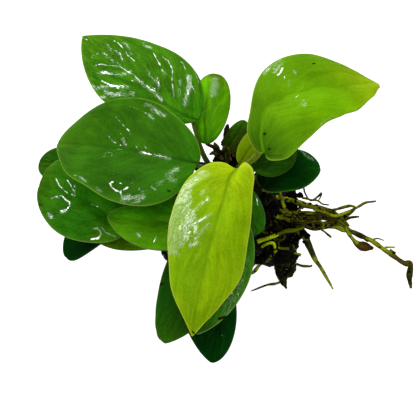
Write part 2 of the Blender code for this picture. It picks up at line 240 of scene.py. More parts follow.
# One row a leaf, in millimetres. It repeats the CAD solid's own numbers: the two ends of the midrib, the
# foot and the radius of the stalk, then (left, right) pairs for the outline, looking from neck to tip.
# half is the greatest half width, rise and fall are how slowly it widens from the neck and narrows to the
# tip, and lobe is how far it reaches back past the neck. arch, bend and dome curve the blade along, sideways
# and across, and bow swings its stalk out. The other three are the scene's own. sway is how far the midrib
# wanders off the middle, as knots (share from the neck, share of the half width). hem is how much wider the
# left and the right half run, at each of HEM_STOPS, as a share of the width. web is 0 where a deep notch
# parts the two lobes, and 1 where the blade closes between them.
LEAF_ROWS = {
    "leaf_lime": dict(
        neck=(-0.5, -13.1, 89.8), tip=(-16.6, -67.9, 64), foot=(0, 5.6, 40.3), half=(13.3, 18), stalk=1.4,
        rise=(0.95, 0.64), fall=(1.02, 1.14), lobe=(0.41, 0.27), bend=0.02, dome=0.1, bow=(-1.2, -0.4, 0),
        sway=((0, 0.1), (0.08, 0.18), (0.3, 0.05), (0.7, 0.02), (0.85, -0.06), (1, 0)),
        hem=((-0.01, -0.1, 0.16, -0.05, -0.04, 0.06, -0.05, -0.14, 0, 0),
             (-0.35, -0.18, -0.03, 0.03, 0, -0.03, 0.09, 0.03, 0.01, 0))),
    "leaf_right": dict(
        neck=(11, -0.8, 84), tip=(58.8, 34.3, 74), foot=(6, 3.5, 41.5), half=(14.8, 19.8), stalk=1.3,
        rise=(0.95, 0.62), fall=(1.44, 0.52), lobe=(0.11, 0.24), arch=0.14, bend=-0.21, dome=0.1,
        bow=(-6, 2, 0), web=0,
        sway=((0, 0), (0.1, -0.26), (0.2, -0.36), (0.3, -0.46), (0.4, -0.12), (0.5, 0.16), (0.65, 0.36),
              (0.8, 0.34), (1, 0)),
        hem=((0.24, 0.21, 0.15, -0.07, 0.05, 0.05, -0.13, -0.18, -0.08, 0),
             (-0.26, -0.2, 0.04, 0, -0.06, -0.04, 0.06, -0.04, -0.29, 0))),
    "leaf_left": dict(
        neck=(-14.9, -2.4, 77), tip=(-73.6, 18.2, 52), foot=(-3, 9, 42.5), half=(22.5, 24.9), stalk=1.4,
        rise=(0.33, 0.78), fall=(0.77, 0.72), lobe=(-0.06, 0.13), arch=0.1, bend=-0.03,
        hem=((0, -0.05, -0.02, 0, 0, -0.04, 0.05, -0.06, -0.03, 0),
             (-0.06, -0.07, 0.03, 0, 0.01, 0, 0.03, -0.09, 0.01, 0))),
    "leaf_top_left": dict(
        neck=(-14.5, 24.1, 62), tip=(-64.6, 65.9, 60), foot=(-6.5, 10.5, 40), half=(17.9, 19.1), stalk=1.3,
        rise=(0.85, 0.6), fall=(0.9, 0.94), lobe=(0.02, 0), arch=0.03, bend=-0.01, bow=(-4, -3.8, 0),
        sway=((0, 0), (0.12, -0.24), (0.3, -0.22), (0.5, -0.07), (0.68, -0.07), (0.85, -0.2), (1, 0)),
        hem=((-0.03, -0.03, -0.03, -0.03, -0.04, 0.02, 0.02, 0.02, 0.01, 0),
             (0, 0.03, -0.04, -0.01, -0.01, -0.04, -0.02, -0.03, -0.02, 0))),
    "leaf_top": dict(
        neck=(-11.4, 17.3, 54), tip=(-8.7, 49.6, 56), foot=(-6, 18.5, 42.5), half=(8.4, 8.3), stalk=1,
        rise=(0.55, 0.56), fall=(0.58, 0.41), lobe=(0.05, 0.03), arch=0.06, bend=0.02, dome=0.12,
        bow=(1, 1.5, 0),
        sway=((0, 0), (0.2, -0.12), (0.45, -0.26), (0.7, -0.2), (1, 0))),
    "leaf_low_left": dict(
        neck=(-44.3, -20.3, 50), tip=(-81.6, 1.5, 45), foot=(-7, 10, 36), half=(17.4, 18.7), stalk=1.2,
        rise=(0.57, 0.5), fall=(0.57, 0.3), lobe=(0.11, 0.05), arch=0.06, bend=0.07, dome=0.07),
    "leaf_front": dict(
        neck=(-11.7, -24.5, 64), tip=(-50.9, -16.6, 58), foot=(-2, 4, 40), half=(10.3, 8.3), stalk=1.1,
        rise=(0.65, 0.48), fall=(0.79, 0.55), lobe=(0.04, 0.05), bend=-0.05,
        sway=((0, 0), (0.5, 0.1), (0.7, 0.05), (0.9, -0.18), (1, 0)),
        hem=((0,) * 10, (1.6, 1.6, 1.3, 1, 0.55, 0.25, 0.05, 0, 0, 0))),
    "leaf_low_middle": dict(
        neck=(-23.1, -15.7, 42), tip=(-58.7, -17.1, 36), foot=(-4.5, 6, 35), half=(9, 10), stalk=1,
        fall=(0.6, 0.6), dome=0.06),
    "leaf_far_left": dict(
        neck=(-52.1, 9.8, 44), tip=(-83.8, 16.3, 37), foot=(-10, 14, 37), half=(10, 9.5), stalk=1),
    "leaf_floor_left": dict(
        neck=(-44, -10.2, 36), tip=(-71.2, -23.8, 27), foot=(-7.5, 8.5, 32.5), half=(6.3, 10.4), stalk=0.9,
        rise=(0.52, 0.5), fall=(0.35, 0.58), lobe=(0.06, 0.05), bend=0.09),
    "leaf_low_right": dict(
        neck=(-1.8, -18, 70), tip=(-15.1, -63.4, 50), foot=(3, 1, 40), half=(11.3, 14), stalk=1.2,
        rise=(0.57, 0.5), fall=(0.84, 0.6), lobe=(0, 0.08), arch=0.06, bend=-0.07),
    "leaf_bottom_left": dict(
        neck=(-13, -27, 56), tip=(-27.7, -64.5, 40), foot=(0, 1, 37), half=(12.5, 12), stalk=1.1,
        rise=(0.6, 0.35), fall=(0.9, 0.57), lobe=(0.05, 0.07), bend=-0.04, dome=0.07,
        hem=((0,) * 10, (0, 0, 0, 0, 0, 0, 0.03, 0.14, 0.42, 0))),
    "leaf_bottom": dict(
        neck=(-5.4, -34.4, 46), tip=(-9.3, -70, 30), foot=(6, -3.5, 36), half=(7.9, 15), stalk=1,
        rise=(0.7, 0.52), fall=(0.55, 0.83), lobe=(0.01, 0.05), bend=-0.02, dome=0.07),
    "leaf_small": dict(
        neck=(4.5, -5.8, 60), tip=(8.5, -22.2, 50), foot=(9.5, -2, 40), half=(6.6, 4.5), stalk=0.9,
        rise=(0.56, 0.5), fall=(0.41, 0.5), lobe=(0.1, 0.05), bend=0.04, dome=0.12),
    "leaf_under_right": dict(
        neck=(8, 3.5, 58), tip=(23.5, 18.5, 55), foot=(10, 6, 41.5), half=(8.5, 10), stalk=1),
    "leaf_far_right": dict(
        neck=(12.5, -1, 50), tip=(37.2, 10.8, 44), foot=(14.5, 2, 40), half=(9.8, 9.9), stalk=1,
        rise=(0.44, 0.68), fall=(0.49, 0.6), lobe=(0.05, 0.16), arch=0.08, bend=-0.11, dome=0.07),
    "leaf_young": dict(
        neck=(2.4, 6, 58), tip=(12, 16, 70), foot=(4, 10.5, 41.8), half=(5.2, 5.2), stalk=0.9, lobe=(0, 0),
        arch=0.02),
    "leaf_bud": dict(
        neck=(-3, 17, 45.5), tip=(5.6, 27.5, 55), foot=(-2, 15, 42.5), half=(4.2, 4.6), stalk=0.9,
        lobe=(0, 0), dome=0.1),
}
# What a row leaves out.
USUAL_LEAF = dict(
    rise=(0.5, 0.5), fall=(0.5, 0.5), lobe=(0.05, 0.05), arch=0.05, bend=0, dome=0.08, bow=(0, 0, 0), web=1,
    sway=((0, 0), (1, 0)), hem=((0,) * 10, (0,) * 10))
HEM_STOPS = (0, 0.07, 0.16, 0.28, 0.42, 0.56, 0.70, 0.84, 0.95, 1)

# The solid's own numbers again, for the blade and for the stalk.
NECK_ANGLE = 0.14
TIP_ANGLE = 0.10
MIDRIB_SPACING = 1.2
LOBE_TIGHTNESS = 8
LOBE_SPREAD = 1.3
MARGIN_RISE = 0.12
MARGIN_DROOP = 0.15
MIDRIB_VALLEY = 0.07
VALLEY_WIDTH = 0.55
STALK_RISE = 0.35
STALK_LEAN = 0.15
STALK_ENTRY = 0.30
STALK_TAPER = 0.35
STALK_INTO_BLADE = 0.10

# The scene's own detail. A relief is a noise scale and a height, and the wave a count and a height.
WEB_REACH = 0.09
GRID_STEP = 0.42 * MM
FEWEST_COLUMNS = 26
FEWEST_ROWS = 40
BLADE_THICKNESS = 0.55 * MM
MARGIN_THICKNESS = 0.28 * MM
MARGIN_TAPER = 1.5 * MM
VEIN_CURVE = 1.2
GROOVE_DEPTH = 0.16 * MM
GROOVE_WIDTH = 0.8 * MM
BROAD_RELIEF = (95, 0.42 * MM)
SMALL_RELIEF = (310, 0.07 * MM)
MARGIN_WAVE = (5, 0.5 * MM)
STALK_STEPS = 26
STALK_SIDES = 12
STALK_FLARE = 0.55
RIB_STEPS = 22
RIB_END = 0.93
RIB_TIP_RADIUS = 0.16 * MM
RIB_DEPTH = 0.30 * MM

# Each leaf's finish. neck, left, right and tip are the greens of the parts of its upper side, rib and rim
# those of the midrib and the margin, and stem that of the stalk, where it isn't drawn from right. Some of
# these greens hold painted light: the near-black greens of the lower leaves are partly painted shade from
# the leaves above them, and the left green of leaf_top is a painted sheen. veins is how many side veins each
# half has, and sweep is how far they slant towards the tip. quilt is how high the blade swells between them,
# in millimetres. blotchy, hair and veining are the strengths of its mottling, of its fine lines and of its
# dark veins, which are partly painted shade in the furrows between the swellings. sheen is the noise level
# past which a glossy patch shines, and how strongly it does, in its coat and in the painted highlight mixed
# into its colour.
LOOK_ROWS = {
    "leaf_lime": dict(
        slot="leaf_lime", neck=(0.21, 0.31, 0.002), left=(0.14, 0.25, 0.001), right=(0.12, 0.24, 0.002),
        tip=(0.13, 0.24, 0.001), rib=(0.085, 0.18, 0.001), rim=(0.3, 0.36, 0.02), veins=13, sweep=0.34,
        quilt=0.07, blotchy=0.45, hair=0.08, sheen=(0.49, 0.36)),
    "leaf_right": dict(
        slot="leaf_light", neck=(0.014, 0.055, 0.001), left=(0.066, 0.17, 0.001),
        right=(0.091, 0.23, 0.001), tip=(0.23, 0.34, 0.001), rib=(0.062, 0.18, 0.001),
        rim=(0.15, 0.25, 0.015), stem=(0.09, 0.14, 0.002), veins=15, sweep=0.55, quilt=0.05, blotchy=0.3,
        hair=0.12, sheen=(0.5, 0.3)),
    "leaf_left": dict(
        slot="leaf_green", neck=(0.022, 0.11, 0.002), left=(0.017, 0.081, 0.002),
        right=(0.017, 0.074, 0.001), tip=(0.03, 0.1, 0.001), rib=(0.008, 0.048, 0.002),
        rim=(0.11, 0.21, 0.02), veins=10, quilt=0.1, blotchy=0.6, sheen=(0.48, 0.3)),
    "leaf_top_left": dict(
        slot="leaf_green", neck=(0.026, 0.14, 0.002), left=(0.024, 0.11, 0.002),
        right=(0.028, 0.11, 0.002), tip=(0.037, 0.11, 0.002), rib=(0.012, 0.07, 0.002),
        rim=(0.11, 0.22, 0.02), veins=12, quilt=0.16, veining=0.28, sheen=(0.52, 0.42)),
    # Painted sheen: the left green is far lighter than the blade's own green, a broad soft highlight painted
    # into its colour.
    "leaf_top": dict(
        slot="leaf_green", neck=(0.019, 0.12, 0.001), left=(0.19, 0.7, 0.001), right=(0.053, 0.19, 0.001),
        tip=(0.061, 0.11, 0.002), rib=(0.024, 0.096, 0.001), rim=(0.1, 0.21, 0.015),
        stem=(0.045, 0.026, 0.005), veins=8, sweep=0.34, quilt=0.05, blotchy=0.2, sheen=(0.34, 0.12)),
    "leaf_low_left": dict(
        slot="leaf_green", neck=(0.04, 0.14, 0.001), left=(0.012, 0.08, 0.001), right=(0.015, 0.12, 0.001),
        tip=(0.023, 0.074, 0.001), rib=(0.008, 0.055, 0.002), rim=(0.1, 0.19, 0.025), veins=9, quilt=0.1),
    "leaf_front": dict(
        slot="leaf_green", neck=(0.025, 0.12, 0.001), left=(0.053, 0.19, 0.001),
        right=(0.034, 0.21, 0.001), tip=(0.024, 0.1, 0.001), rib=(0.018, 0.072, 0.0016),
        rim=(0.08, 0.17, 0.015), veins=9, sweep=0.34, quilt=0.05, blotchy=0.6),
    "leaf_low_middle": dict(
        slot="leaf_dark", neck=(0.035, 0.11, 0.001), left=(0.055, 0.15, 0.001), right=(0.04, 0.12, 0.001),
        tip=(0.055, 0.16, 0.001), rib=(0.008, 0.028, 0.001), rim=(0.04, 0.08, 0.01), veins=8, quilt=0.05),
    "leaf_far_left": dict(
        slot="leaf_dark", neck=(0.0064, 0.043, 0.001), left=(0.0097, 0.056, 0.001),
        right=(0.0058, 0.066, 0.001), tip=(0.017, 0.05, 0.001), rib=(0.008, 0.04, 0.001),
        rim=(0.04, 0.1, 0.015), veins=8, quilt=0.07),
    # Painted shade: these greens are near black, darker than the leaf's own green, for the shade under the
    # leaves above.
    "leaf_floor_left": dict(
        slot="leaf_dark", neck=(0.0005, 0.012, 0.001), left=(0.0005, 0.013, 0.001),
        right=(0.0016, 0.033, 0.001), tip=(0.0012, 0.022, 0.001), rib=(0.0024, 0.02, 0.001),
        rim=(0.015, 0.06, 0.01), veins=8, quilt=0.08),
    # Painted shade: the neck, right and tip greens are darkened for the shade under the lime leaf above; the
    # left green is the blade's own.
    "leaf_low_right": dict(
        slot="leaf_green", neck=(0.0042, 0.039, 0.002), left=(0.033, 0.16, 0.003),
        right=(0.0036, 0.035, 0.002), tip=(0.0028, 0.017, 0.002), rib=(0.008, 0.048, 0.0016),
        rim=(0.11, 0.2, 0.04), veins=20, sweep=0.4, quilt=0.2, veining=0.7, sheen=(0.62, 0.24)),
    # Painted shade: the left and neck greens are near black for the shade under the leaves above.
    "leaf_bottom_left": dict(
        slot="leaf_dark", neck=(0.0026, 0.027, 0.001), left=(0.0005, 0.01, 0.001),
        right=(0.0052, 0.041, 0.001), tip=(0.021, 0.086, 0.001), rib=(0.0072, 0.032, 0.001),
        rim=(0.04, 0.1, 0.015), veins=10, sweep=0.34, quilt=0.05),
    # Painted shade: these greens are near black, darker than the leaf's own green, for the shade under the
    # leaves above.
    "leaf_bottom": dict(
        slot="leaf_dark", neck=(0.0005, 0.012, 0.001), left=(0.0005, 0.028, 0.001),
        right=(0.0005, 0.017, 0.001), tip=(0.0005, 0.027, 0.001), rib=(0.0012, 0.012, 0.001),
        rim=(0.01, 0.045, 0.01), veins=10, sweep=0.34, quilt=0.05),
    "leaf_small": dict(
        slot="leaf_green", neck=(0.0093, 0.061, 0.001), left=(0.018, 0.1, 0.002),
        right=(0.011, 0.061, 0.001), tip=(0.017, 0.08, 0.002), rib=(0.0072, 0.036, 0.001),
        rim=(0.035, 0.11, 0.015), veins=8, quilt=0.05),
    "leaf_under_right": dict(
        slot="leaf_green", neck=(0.01, 0.049, 0.001), left=(0.0094, 0.044, 0.001),
        right=(0.0068, 0.037, 0.001), tip=(0.016, 0.064, 0.001), rib=(0.0072, 0.028, 0.001),
        rim=(0.022, 0.055, 0.004), veins=8, quilt=0.04),
    # Painted shade: the neck and left greens are near black for the shade under the right leaf above.
    "leaf_far_right": dict(
        slot="leaf_dark", neck=(0.0036, 0.003, 0.001), left=(0.0005, 0.016, 0.001),
        right=(0.0014, 0.027, 0.001), tip=(0.0029, 0.056, 0.001), rib=(0.0016, 0.016, 0.001),
        rim=(0.035, 0.14, 0.01), veins=8, quilt=0.06),
    "leaf_young": dict(
        slot="leaf_light", neck=(0.15, 0.26, 0.001), left=(0.095, 0.16, 0.001), right=(0.072, 0.12, 0.001),
        tip=(0.12, 0.22, 0.001), rib=(0.048, 0.08, 0.001), rim=(0.13, 0.18, 0.01), veins=8, sweep=0.45,
        quilt=0.02, blotchy=0.4),
    "leaf_bud": dict(
        slot="leaf_dark", neck=(0.035, 0.026, 0.001), left=(0.016, 0.055, 0.001),
        right=(0.015, 0.03, 0.001), tip=(0.013, 0.064, 0.001), rib=(0.0048, 0.02, 0.001),
        rim=(0.025, 0.06, 0.005), veins=8, quilt=0.03),
}
# What a row leaves out.
USUAL_LOOK = dict(sweep=0.3, blotchy=1, hair=0.05, veining=0.12, sheen=(0.52, 0.5), stem=None)
PALE = (0.16, 0.26, 0.02)        # the veins of an underside
# Painted highlight: the pale colour mixed into a blade's colour along its streaks and glossy patches.
PAINTED_GLINT = (0.60, 0.70, 0.52)       # the core of a highlight
SPECK = (0.006, 0.004, 0.001)

# Marks on the blades, each a half width in millimetres and then its route, in shares from the left margin
# and from the neck. STREAKS are smooth ridges that catch the light as crisp lines, with a painted highlight
# mixed into their colour too, GLOSS is patches of broken sheen, partly coat and partly painted highlight in
# the colour, and SPECKS are dark spots.
STREAKS = {
    "leaf_top_left": (
        (0.21, (0, 0.97), (0.44, 0.89)),
        (0.21, (0.81, 0.72), (0.8, 0.7), (0.73, 0.66)),
        (0.19, (0.69, 0.64), (0.65, 0.62), (0.63, 0.58)),
        (0.25, (0.2, 0.69), (0.28, 0.68), (0.33, 0.66), (0.45, 0.62), (0.46, 0.6), (0.46, 0.58),
         (0.48, 0.55), (0.45, 0.5), (0.45, 0.48), (0.46, 0.45), (0.45, 0.42), (0.41, 0.37)),
        (0.29, (0.14, 0.61), (0.19, 0.56), (0.23, 0.54)),
        (0.17, (0.36, 0.54), (0.36, 0.53)),
        (0.17, (0.39, 0.53), (0.45, 0.5)),
        (0.25, (0.86, 0.53), (0.75, 0.47)),
        (0.21, (0.86, 0.48), (0.85, 0.45), (0.79, 0.41), (0.66, 0.38)),
        (0.29, (0.66, 0.38), (0.54, 0.33)),
        (0.21, (0.94, 0.4), (0.94, 0.38), (0.86, 0.32)),
        (0.46, (0.84, 0.32), (0.76, 0.28), (0.69, 0.27), (0.63, 0.27), (0.56, 0.25)),
        (0.21, (0.81, 0.27), (0.8, 0.23)),
        (0.17, (1, 0.31), (0.94, 0.24)),
        (0.17, (0.21, 0.74), (0.25, 0.75), (0.4, 0.74))),
    "leaf_left": (
        (0.16, (0.7, 0.52), (0.66, 0.49), (0.51, 0.43)),
        (0.26, (0.51, 0.42), (0.5, 0.39), (0.5, 0.37)),
        (0.13, (0.49, 0.53), (0.5, 0.5), (0.5, 0.42)),
        (0.12, (0.56, 0.41), (0.5, 0.38)),
        (0.15, (0.6, 0.58), (0.55, 0.55), (0.53, 0.51)),
        (0.24, (0.36, 0.55), (0.43, 0.56), (0.43, 0.53), (0.39, 0.52)),
        (0.34, (0.15, 0.45), (0.13, 0.46), (0.1, 0.44), (0.09, 0.42), (0.09, 0.4), (0.14, 0.38)),
        (0.4, (0.09, 0.4), (0.05, 0.38)),
        (0.17, (0.16, 0.42), (0.15, 0.4)),
        (0.17, (0.16, 0.33), (0.14, 0.33), (0.13, 0.31), (0.14, 0.29)),
        (0.29, (0.2, 0.28), (0.18, 0.28), (0.15, 0.25)),
        (0.25, (0.04, 0.64), (0.06, 0.61), (0.04, 0.56)),
        (0.14, (0.89, 0.53), (0.89, 0.51), (0.85, 0.43)),
        (0.13, (0.78, 0.57), (0.7, 0.52)),
        (0.11, (0.64, 0.53), (0.54, 0.48)),
        (0.05, (0.75, 0.58), (0.55, 0.48)),
        (0.05, (0.71, 0.61), (0.58, 0.53)),
        (0.03, (0.21, 0.54), (0.3, 0.52), (0.36, 0.48)),
        (0.03, (0.2, 0.47), (0.34, 0.43)),
        (0.05, (0.18, 0.38), (0.23, 0.35), (0.28, 0.33)),
        (0.05, (0.15, 0.3), (0.21, 0.23))),
    "leaf_low_left": (
        (0.25, (0.64, 0.78), (0.55, 0.73), (0.5, 0.66)),
        (0.21, (0.64, 0.69), (0.54, 0.61), (0.5, 0.6)),
        (0.32, (0.31, 0.73), (0.43, 0.68), (0.39, 0.63), (0.39, 0.6), (0.35, 0.58), (0.26, 0.58),
         (0.23, 0.61)),
        (0.21, (0.5, 0.63), (0.5, 0.62)),
        (0.24, (0.23, 0.33), (0.26, 0.31), (0.29, 0.28), (0.24, 0.23), (0.15, 0.1)),
        (0.36, (0.24, 0.32), (0.24, 0.28), (0.19, 0.25), (0.1, 0.24), (0.06, 0.28)),
        (0.17, (0.5, 0.48), (0.51, 0.43))),
    "leaf_front": (
        (0.25, (0.25, 0.48), (0.14, 0.48)),
        (0.17, (0.23, 0.6), (0.2, 0.58))),
    "leaf_lime": (
        (0.21, (0.78, 0.46), (0.76, 0.45), (0.73, 0.47)),
        (0.21, (0.6, 0.37), (0.73, 0.42)),
        (0.23, (0.59, 0.41), (0.7, 0.48)),
        (0.17, (0.68, 0.31), (0.81, 0.39)),
        (0.17, (0.86, 0.53), (0.86, 0.55))),
    "leaf_right": (
        (0.38, (0.16, 0.47), (0.2, 0.45), (0.19, 0.44)),
        (0.29, (0.26, 0.46), (0.3, 0.45)),
        (0.21, (0.56, 0.45), (0.56, 0.43)),
        (0.21, (0.98, 0.37), (0.96, 0.47)),
        (0.17, (0.01, 0.48), (0.06, 0.45), (0.1, 0.44)),
        (0.17, (0, 0.46), (0.05, 0.42))),
    "leaf_small": ((0.25, (0.11, 0.28), (0.11, 0.34), (0.16, 0.43)),),
    "leaf_low_right": (
        (0.17, (0.18, 0.44), (0.13, 0.47)),
        (0.17, (0.15, 0.49), (0.09, 0.51)),
        (0.17, (0.19, 0.53), (0.14, 0.53)),
        (0.17, (0.19, 0.55), (0.03, 0.58)),
        (0.17, (0.26, 0.56), (0.19, 0.57), (0.18, 0.59)),
        (0.17, (0.25, 0.59), (0.19, 0.61)),
        (0.17, (0.14, 0.67), (0.13, 0.67))),
    "leaf_bottom": ((0.25, (0.33, 0.65), (0.3, 0.65)),),
}
GLOSS = {
    "leaf_top_left": (
        (0.5, (0.18, 0.65), (0.33, 0.6), (0.36, 0.58), (0.48, 0.57)),
        (0.5, (0, 0.63), (0.03, 0.6), (0.15, 0.57), (0.29, 0.51)),
        (0.8, (0.09, 0.56), (0.11, 0.53), (0.26, 0.47)),
        (0.59, (0, 0.55), (0.04, 0.54)),
        (0.2, (0.84, 0.68), (0.81, 0.65), (0.7, 0.61)),
        (0.12, (0.66, 0.74), (0.6, 0.71), (0.55, 0.69)),
        (0.1, (0.63, 0.68), (0.61, 0.65), (0.55, 0.63)),
        (0.34, (0.94, 0.59), (0.91, 0.58), (0.91, 0.55)),
        (0.29, (0.61, 0.51), (0.58, 0.48), (0.55, 0.45)),
        (0.29, (0.59, 0.45), (0.55, 0.43), (0.51, 0.42)),
        (0.25, (0.71, 0.45), (0.69, 0.43)),
        (0.25, (0.75, 0.35), (0.59, 0.31)),
        (0.67, (0.46, 0.53), (0.45, 0.48), (0.45, 0.42), (0.41, 0.37)),
        (0.25, (0.44, 0.73), (0.46, 0.7), (0.45, 0.67), (0.46, 0.63)),
        (0.95, (0.86, 0.32), (0.76, 0.28), (0.69, 0.27), (0.63, 0.27), (0.56, 0.25))),
    "leaf_left": (
        (1.09, (0.03, 0.37), (0.06, 0.36), (0.05, 0.33), (0.06, 0.31), (0.09, 0.3)),
        (0.84, (0.38, 0.2), (0.3, 0.23), (0.25, 0.19), (0.24, 0.17)),
        (0.5, (0.5, 0.42), (0.49, 0.28)),
        (0.38, (0.03, 0.5), (0.03, 0.48)),
        (0.25, (0.58, 0.51), (0.54, 0.49)),
        (0.76, (0.94, 0.45), (0.94, 0.43), (0.91, 0.39), (0.91, 0.35)),
        (0.42, (0.05, 0.6), (0.04, 0.56)),
        (0.29, (0.85, 0.42), (0.81, 0.39)),
        (0.42, (0.21, 0.26), (0.24, 0.24))),
    "leaf_low_left": (
        (0.55, (0.1, 0.68), (0.09, 0.64)),
        (0.42, (0.38, 0.69), (0.41, 0.68)),
        (0.42, (0.28, 0.58), (0.23, 0.6)),
        (0.38, (0.58, 0.63), (0.51, 0.61))),
    "leaf_front": ((0.34, (0.23, 0.6), (0.2, 0.58)),),
    "leaf_lime": (
        (1.3, (0.88, 0.21), (0.91, 0.22), (0.91, 0.24), (0.93, 0.26)),
        (1.6, (0.94, 0.28), (0.94, 0.31), (0.91, 0.33), (0.93, 0.34)),
        (1.3, (0.94, 0.37), (0.98, 0.42)),
        (1.4, (0.96, 0.44), (0.95, 0.51), (0.94, 0.52)),
        (2.7, (0.84, 0.43), (0.88, 0.46), (0.84, 0.47), (0.88, 0.49)),
        (1.6, (0.83, 0.41), (0.78, 0.4)),
        (0.9, (0.76, 0.42), (0.71, 0.43), (0.71, 0.45)),
        (0.42, (0.6, 0.37), (0.73, 0.42)),
        (0.42, (0.59, 0.41), (0.7, 0.48)),
        (0.34, (0.68, 0.31), (0.81, 0.39)),
        (0.21, (0.74, 0.27), (0.78, 0.3)),
        (0.63, (0.65, 0.49), (0.73, 0.5)),
        (2.2, (0.95, 0.3), (0.95, 0.42), (0.93, 0.52)),
        (1.6, (0.88, 0.34), (0.84, 0.4))),
    "leaf_right": (
        (0.67, (0.03, 0.48), (0.04, 0.46), (0.03, 0.43), (0.04, 0.41)),
        (0.55, (0.08, 0.48), (0.13, 0.44)),
        (0.25, (0.36, 0.46), (0.4, 0.45)),
        (0.21, (0.28, 0.5), (0.33, 0.5)),
        (0.21, (0.64, 0.43), (0.69, 0.43)),
        (0.21, (0.66, 0.41), (0.71, 0.41))),
    "leaf_low_right": ((2.2, (0.16, 0.42), (0.14, 0.56), (0.1, 0.66)),),
    "leaf_far_right": ((0.55, (0, 0.69), (0.18, 0.73), (0.24, 0.81)),),
    "leaf_top": (
        (1.3, (0.58, 0.82), (0.59, 0.73), (0.54, 0.64)),
        (0.42, (0.34, 0.5), (0.34, 0.43))),
}
SPECKS = {
    "leaf_right": (
        (0.59, (0.4, 0.2), (0.41, 0.2)),
        (0.42, (0.64, 0.11), (0.65, 0.12)),
        (0.34, (0.25, 0.58), (0.25, 0.59))),
    "leaf_low_right": ((0.59, (0.09, 0.73), (0, 0.7)),),
    "leaf_bottom_left": ((0.5, (1, 0.5), (0.94, 0.49)),),
    "leaf_low_left": ((0.34, (0.05, 0.82), (0.08, 0.8)),),
    "leaf_left": (
        (0.29, (0.13, 0.18), (0.11, 0.16)),
        (0.21, (0.2, 1), (0.1, 1))),
    "leaf_lime": ((0.38, (0.48, 0.92), (0.15, 0.93)),),
}
MARK_REACH = 3 * MM        # how far from a mark the blade still knows of it


def leaf_in_metres(row):
    leaf = {**USUAL_LEAF, **row, "stalk": row["stalk"] * MM}
    for key in ("neck", "tip", "foot", "half", "bow"):
        leaf[key] = in_metres(leaf[key])
    return leaf


LEAVES = {node: leaf_in_metres(row) for node, row in LEAF_ROWS.items()}
LOOKS = {node: {**USUAL_LOOK, **row} for node, row in LOOK_ROWS.items()}


def crest(along, rise, fall):
    """A blade's half width from 0 at both ends to 1 at its widest place."""
    peak = rise / (rise + fall)
    highest = peak ** rise * (1 - peak) ** fall
    return along ** rise * (1 - along) ** fall / highest


def right_hand(leaf):
    """The level direction to the right of the leaf's chord, looking from neck to tip."""
    return (leaf["tip"] - leaf["neck"]).cross(UP).normalized()


def midrib(leaf, along):
    """Point and direction of the midrib: a quadratic curve from neck to tip, and straight before it."""
    neck, tip = leaf["neck"], leaf["tip"]
    length = (tip - neck).length
    right = right_hand(leaf)
    face = right.cross((tip - neck).normalized())
    control = (neck + tip) / 2 + (face * leaf["arch"] + right * leaf["bend"]) * (2 * length)
    inside = min(max(along, 0.0), 1.0)
    point = neck * (1 - inside) ** 2 + control * (2 * inside * (1 - inside)) + tip * inside ** 2
    direction = ((control - neck) * (1 - inside) + (tip - control) * inside).normalized()
    return point + direction * (min(along, 0.0) * length), direction


def eased(knots, down):
    """The value at down of knots (share from the neck, value), joined by smooth steps."""
    for (start, first), (end, last) in zip(knots, knots[1:]):
        if down <= end:
            t = (down - start) / (end - start)
            return first + (last - first) * t * t * (3 - 2 * t)
    return 0.0


def hem(leaf, down, side):
    return eased(list(zip(HEM_STOPS, leaf["hem"][side])), down)


def from_rib(leaf, down, across):
    """across counted from the midrib's true place: 0 on it and still -1 and 1 at the margins."""
    off = eased(leaf["sway"], down)
    return (across - off) / (1 - off * across)


def blade_spot(leaf, down, across):
    """A spot of the blade, down going 0 to 1 from neck to tip and across -1 to 1 from left to right margin.

    Gives its point, the way that the blade faces there, its distance along the midrib and the half width."""
    hand = 0 if across < 0 else 1
    out = abs(across)
    angle = NECK_ANGLE + (math.pi - NECK_ANGLE - TIP_ANGLE) * down
    even = (1 - math.cos(angle)) / 2
    spreads = [crest(even, leaf["rise"][side], leaf["fall"][side]) for side in (0, 1)]
    widths = [spreads[side] * leaf["half"][side] * (1 + hem(leaf, down, side)) for side in (0, 1)]
    swept = even - leaf["lobe"][hand] * math.sin(angle) * math.cos(angle / 2) ** LOBE_TIGHTNESS
    back = sum(leaf["lobe"]) / 2 * math.sin(NECK_ANGLE)
    middle = even ** MIDRIB_SPACING - leaf["web"] * back * math.exp(-((down / WEB_REACH) ** 2))
    along = middle + (swept - middle) * out ** LOBE_SPREAD
    point, direction = midrib(leaf, along)
    right = right_hand(leaf)
    outward = (right - direction * right.dot(direction)).normalized()
    face = outward.cross(direction)
    margin = widths[hand] * out * (MARGIN_RISE - MARGIN_DROOP * spreads[hand] * out)
    valley = MIDRIB_VALLEY * max(0.0, 1 - abs(from_rib(leaf, down, across)) / VALLEY_WIDTH) ** 2
    crown = (leaf["dome"] * (1 - out ** 2) - valley) * (widths[0] + widths[1]) / 2
    point = point + outward * (widths[hand] * across) + face * (margin + crown)
    return point, face, along, widths[hand]


def relief(leaf, look, down, across, point, width):
    """How far the blade's skin stands up here: quilted between side veins, grooved at the midrib, uneven."""
    across = from_rib(leaf, down, across)
    out = abs(across)
    count = look["veins"] * (down - look["sweep"] * out ** VEIN_CURVE)
    pillow = abs(math.sin(math.pi * count)) ** 0.8
    ends = min(1.0, 6 * down) * min(1.0, 5 * (1 - down))
    quilt = look["quilt"] * MM * pillow * ends * min(1.0, 5 * out) * (1 - out ** 4)
    groove = GROOVE_DEPTH * math.exp(-((across * width / GROOVE_WIDTH) ** 2)) * (1 - down)
    scale, height = BROAD_RELIEF
    broad = noise.noise(point * scale) * height * (1 - 0.5 * out ** 3)
    scale, height = SMALL_RELIEF
    small = noise.noise(point * scale) * height
    waves, height = MARGIN_WAVE
    place = Vector((down * waves, math.copysign(3.3, across), leaf["foot"].x * 900))
    return quilt - groove + broad + small + noise.noise(place) * height * out ** 5


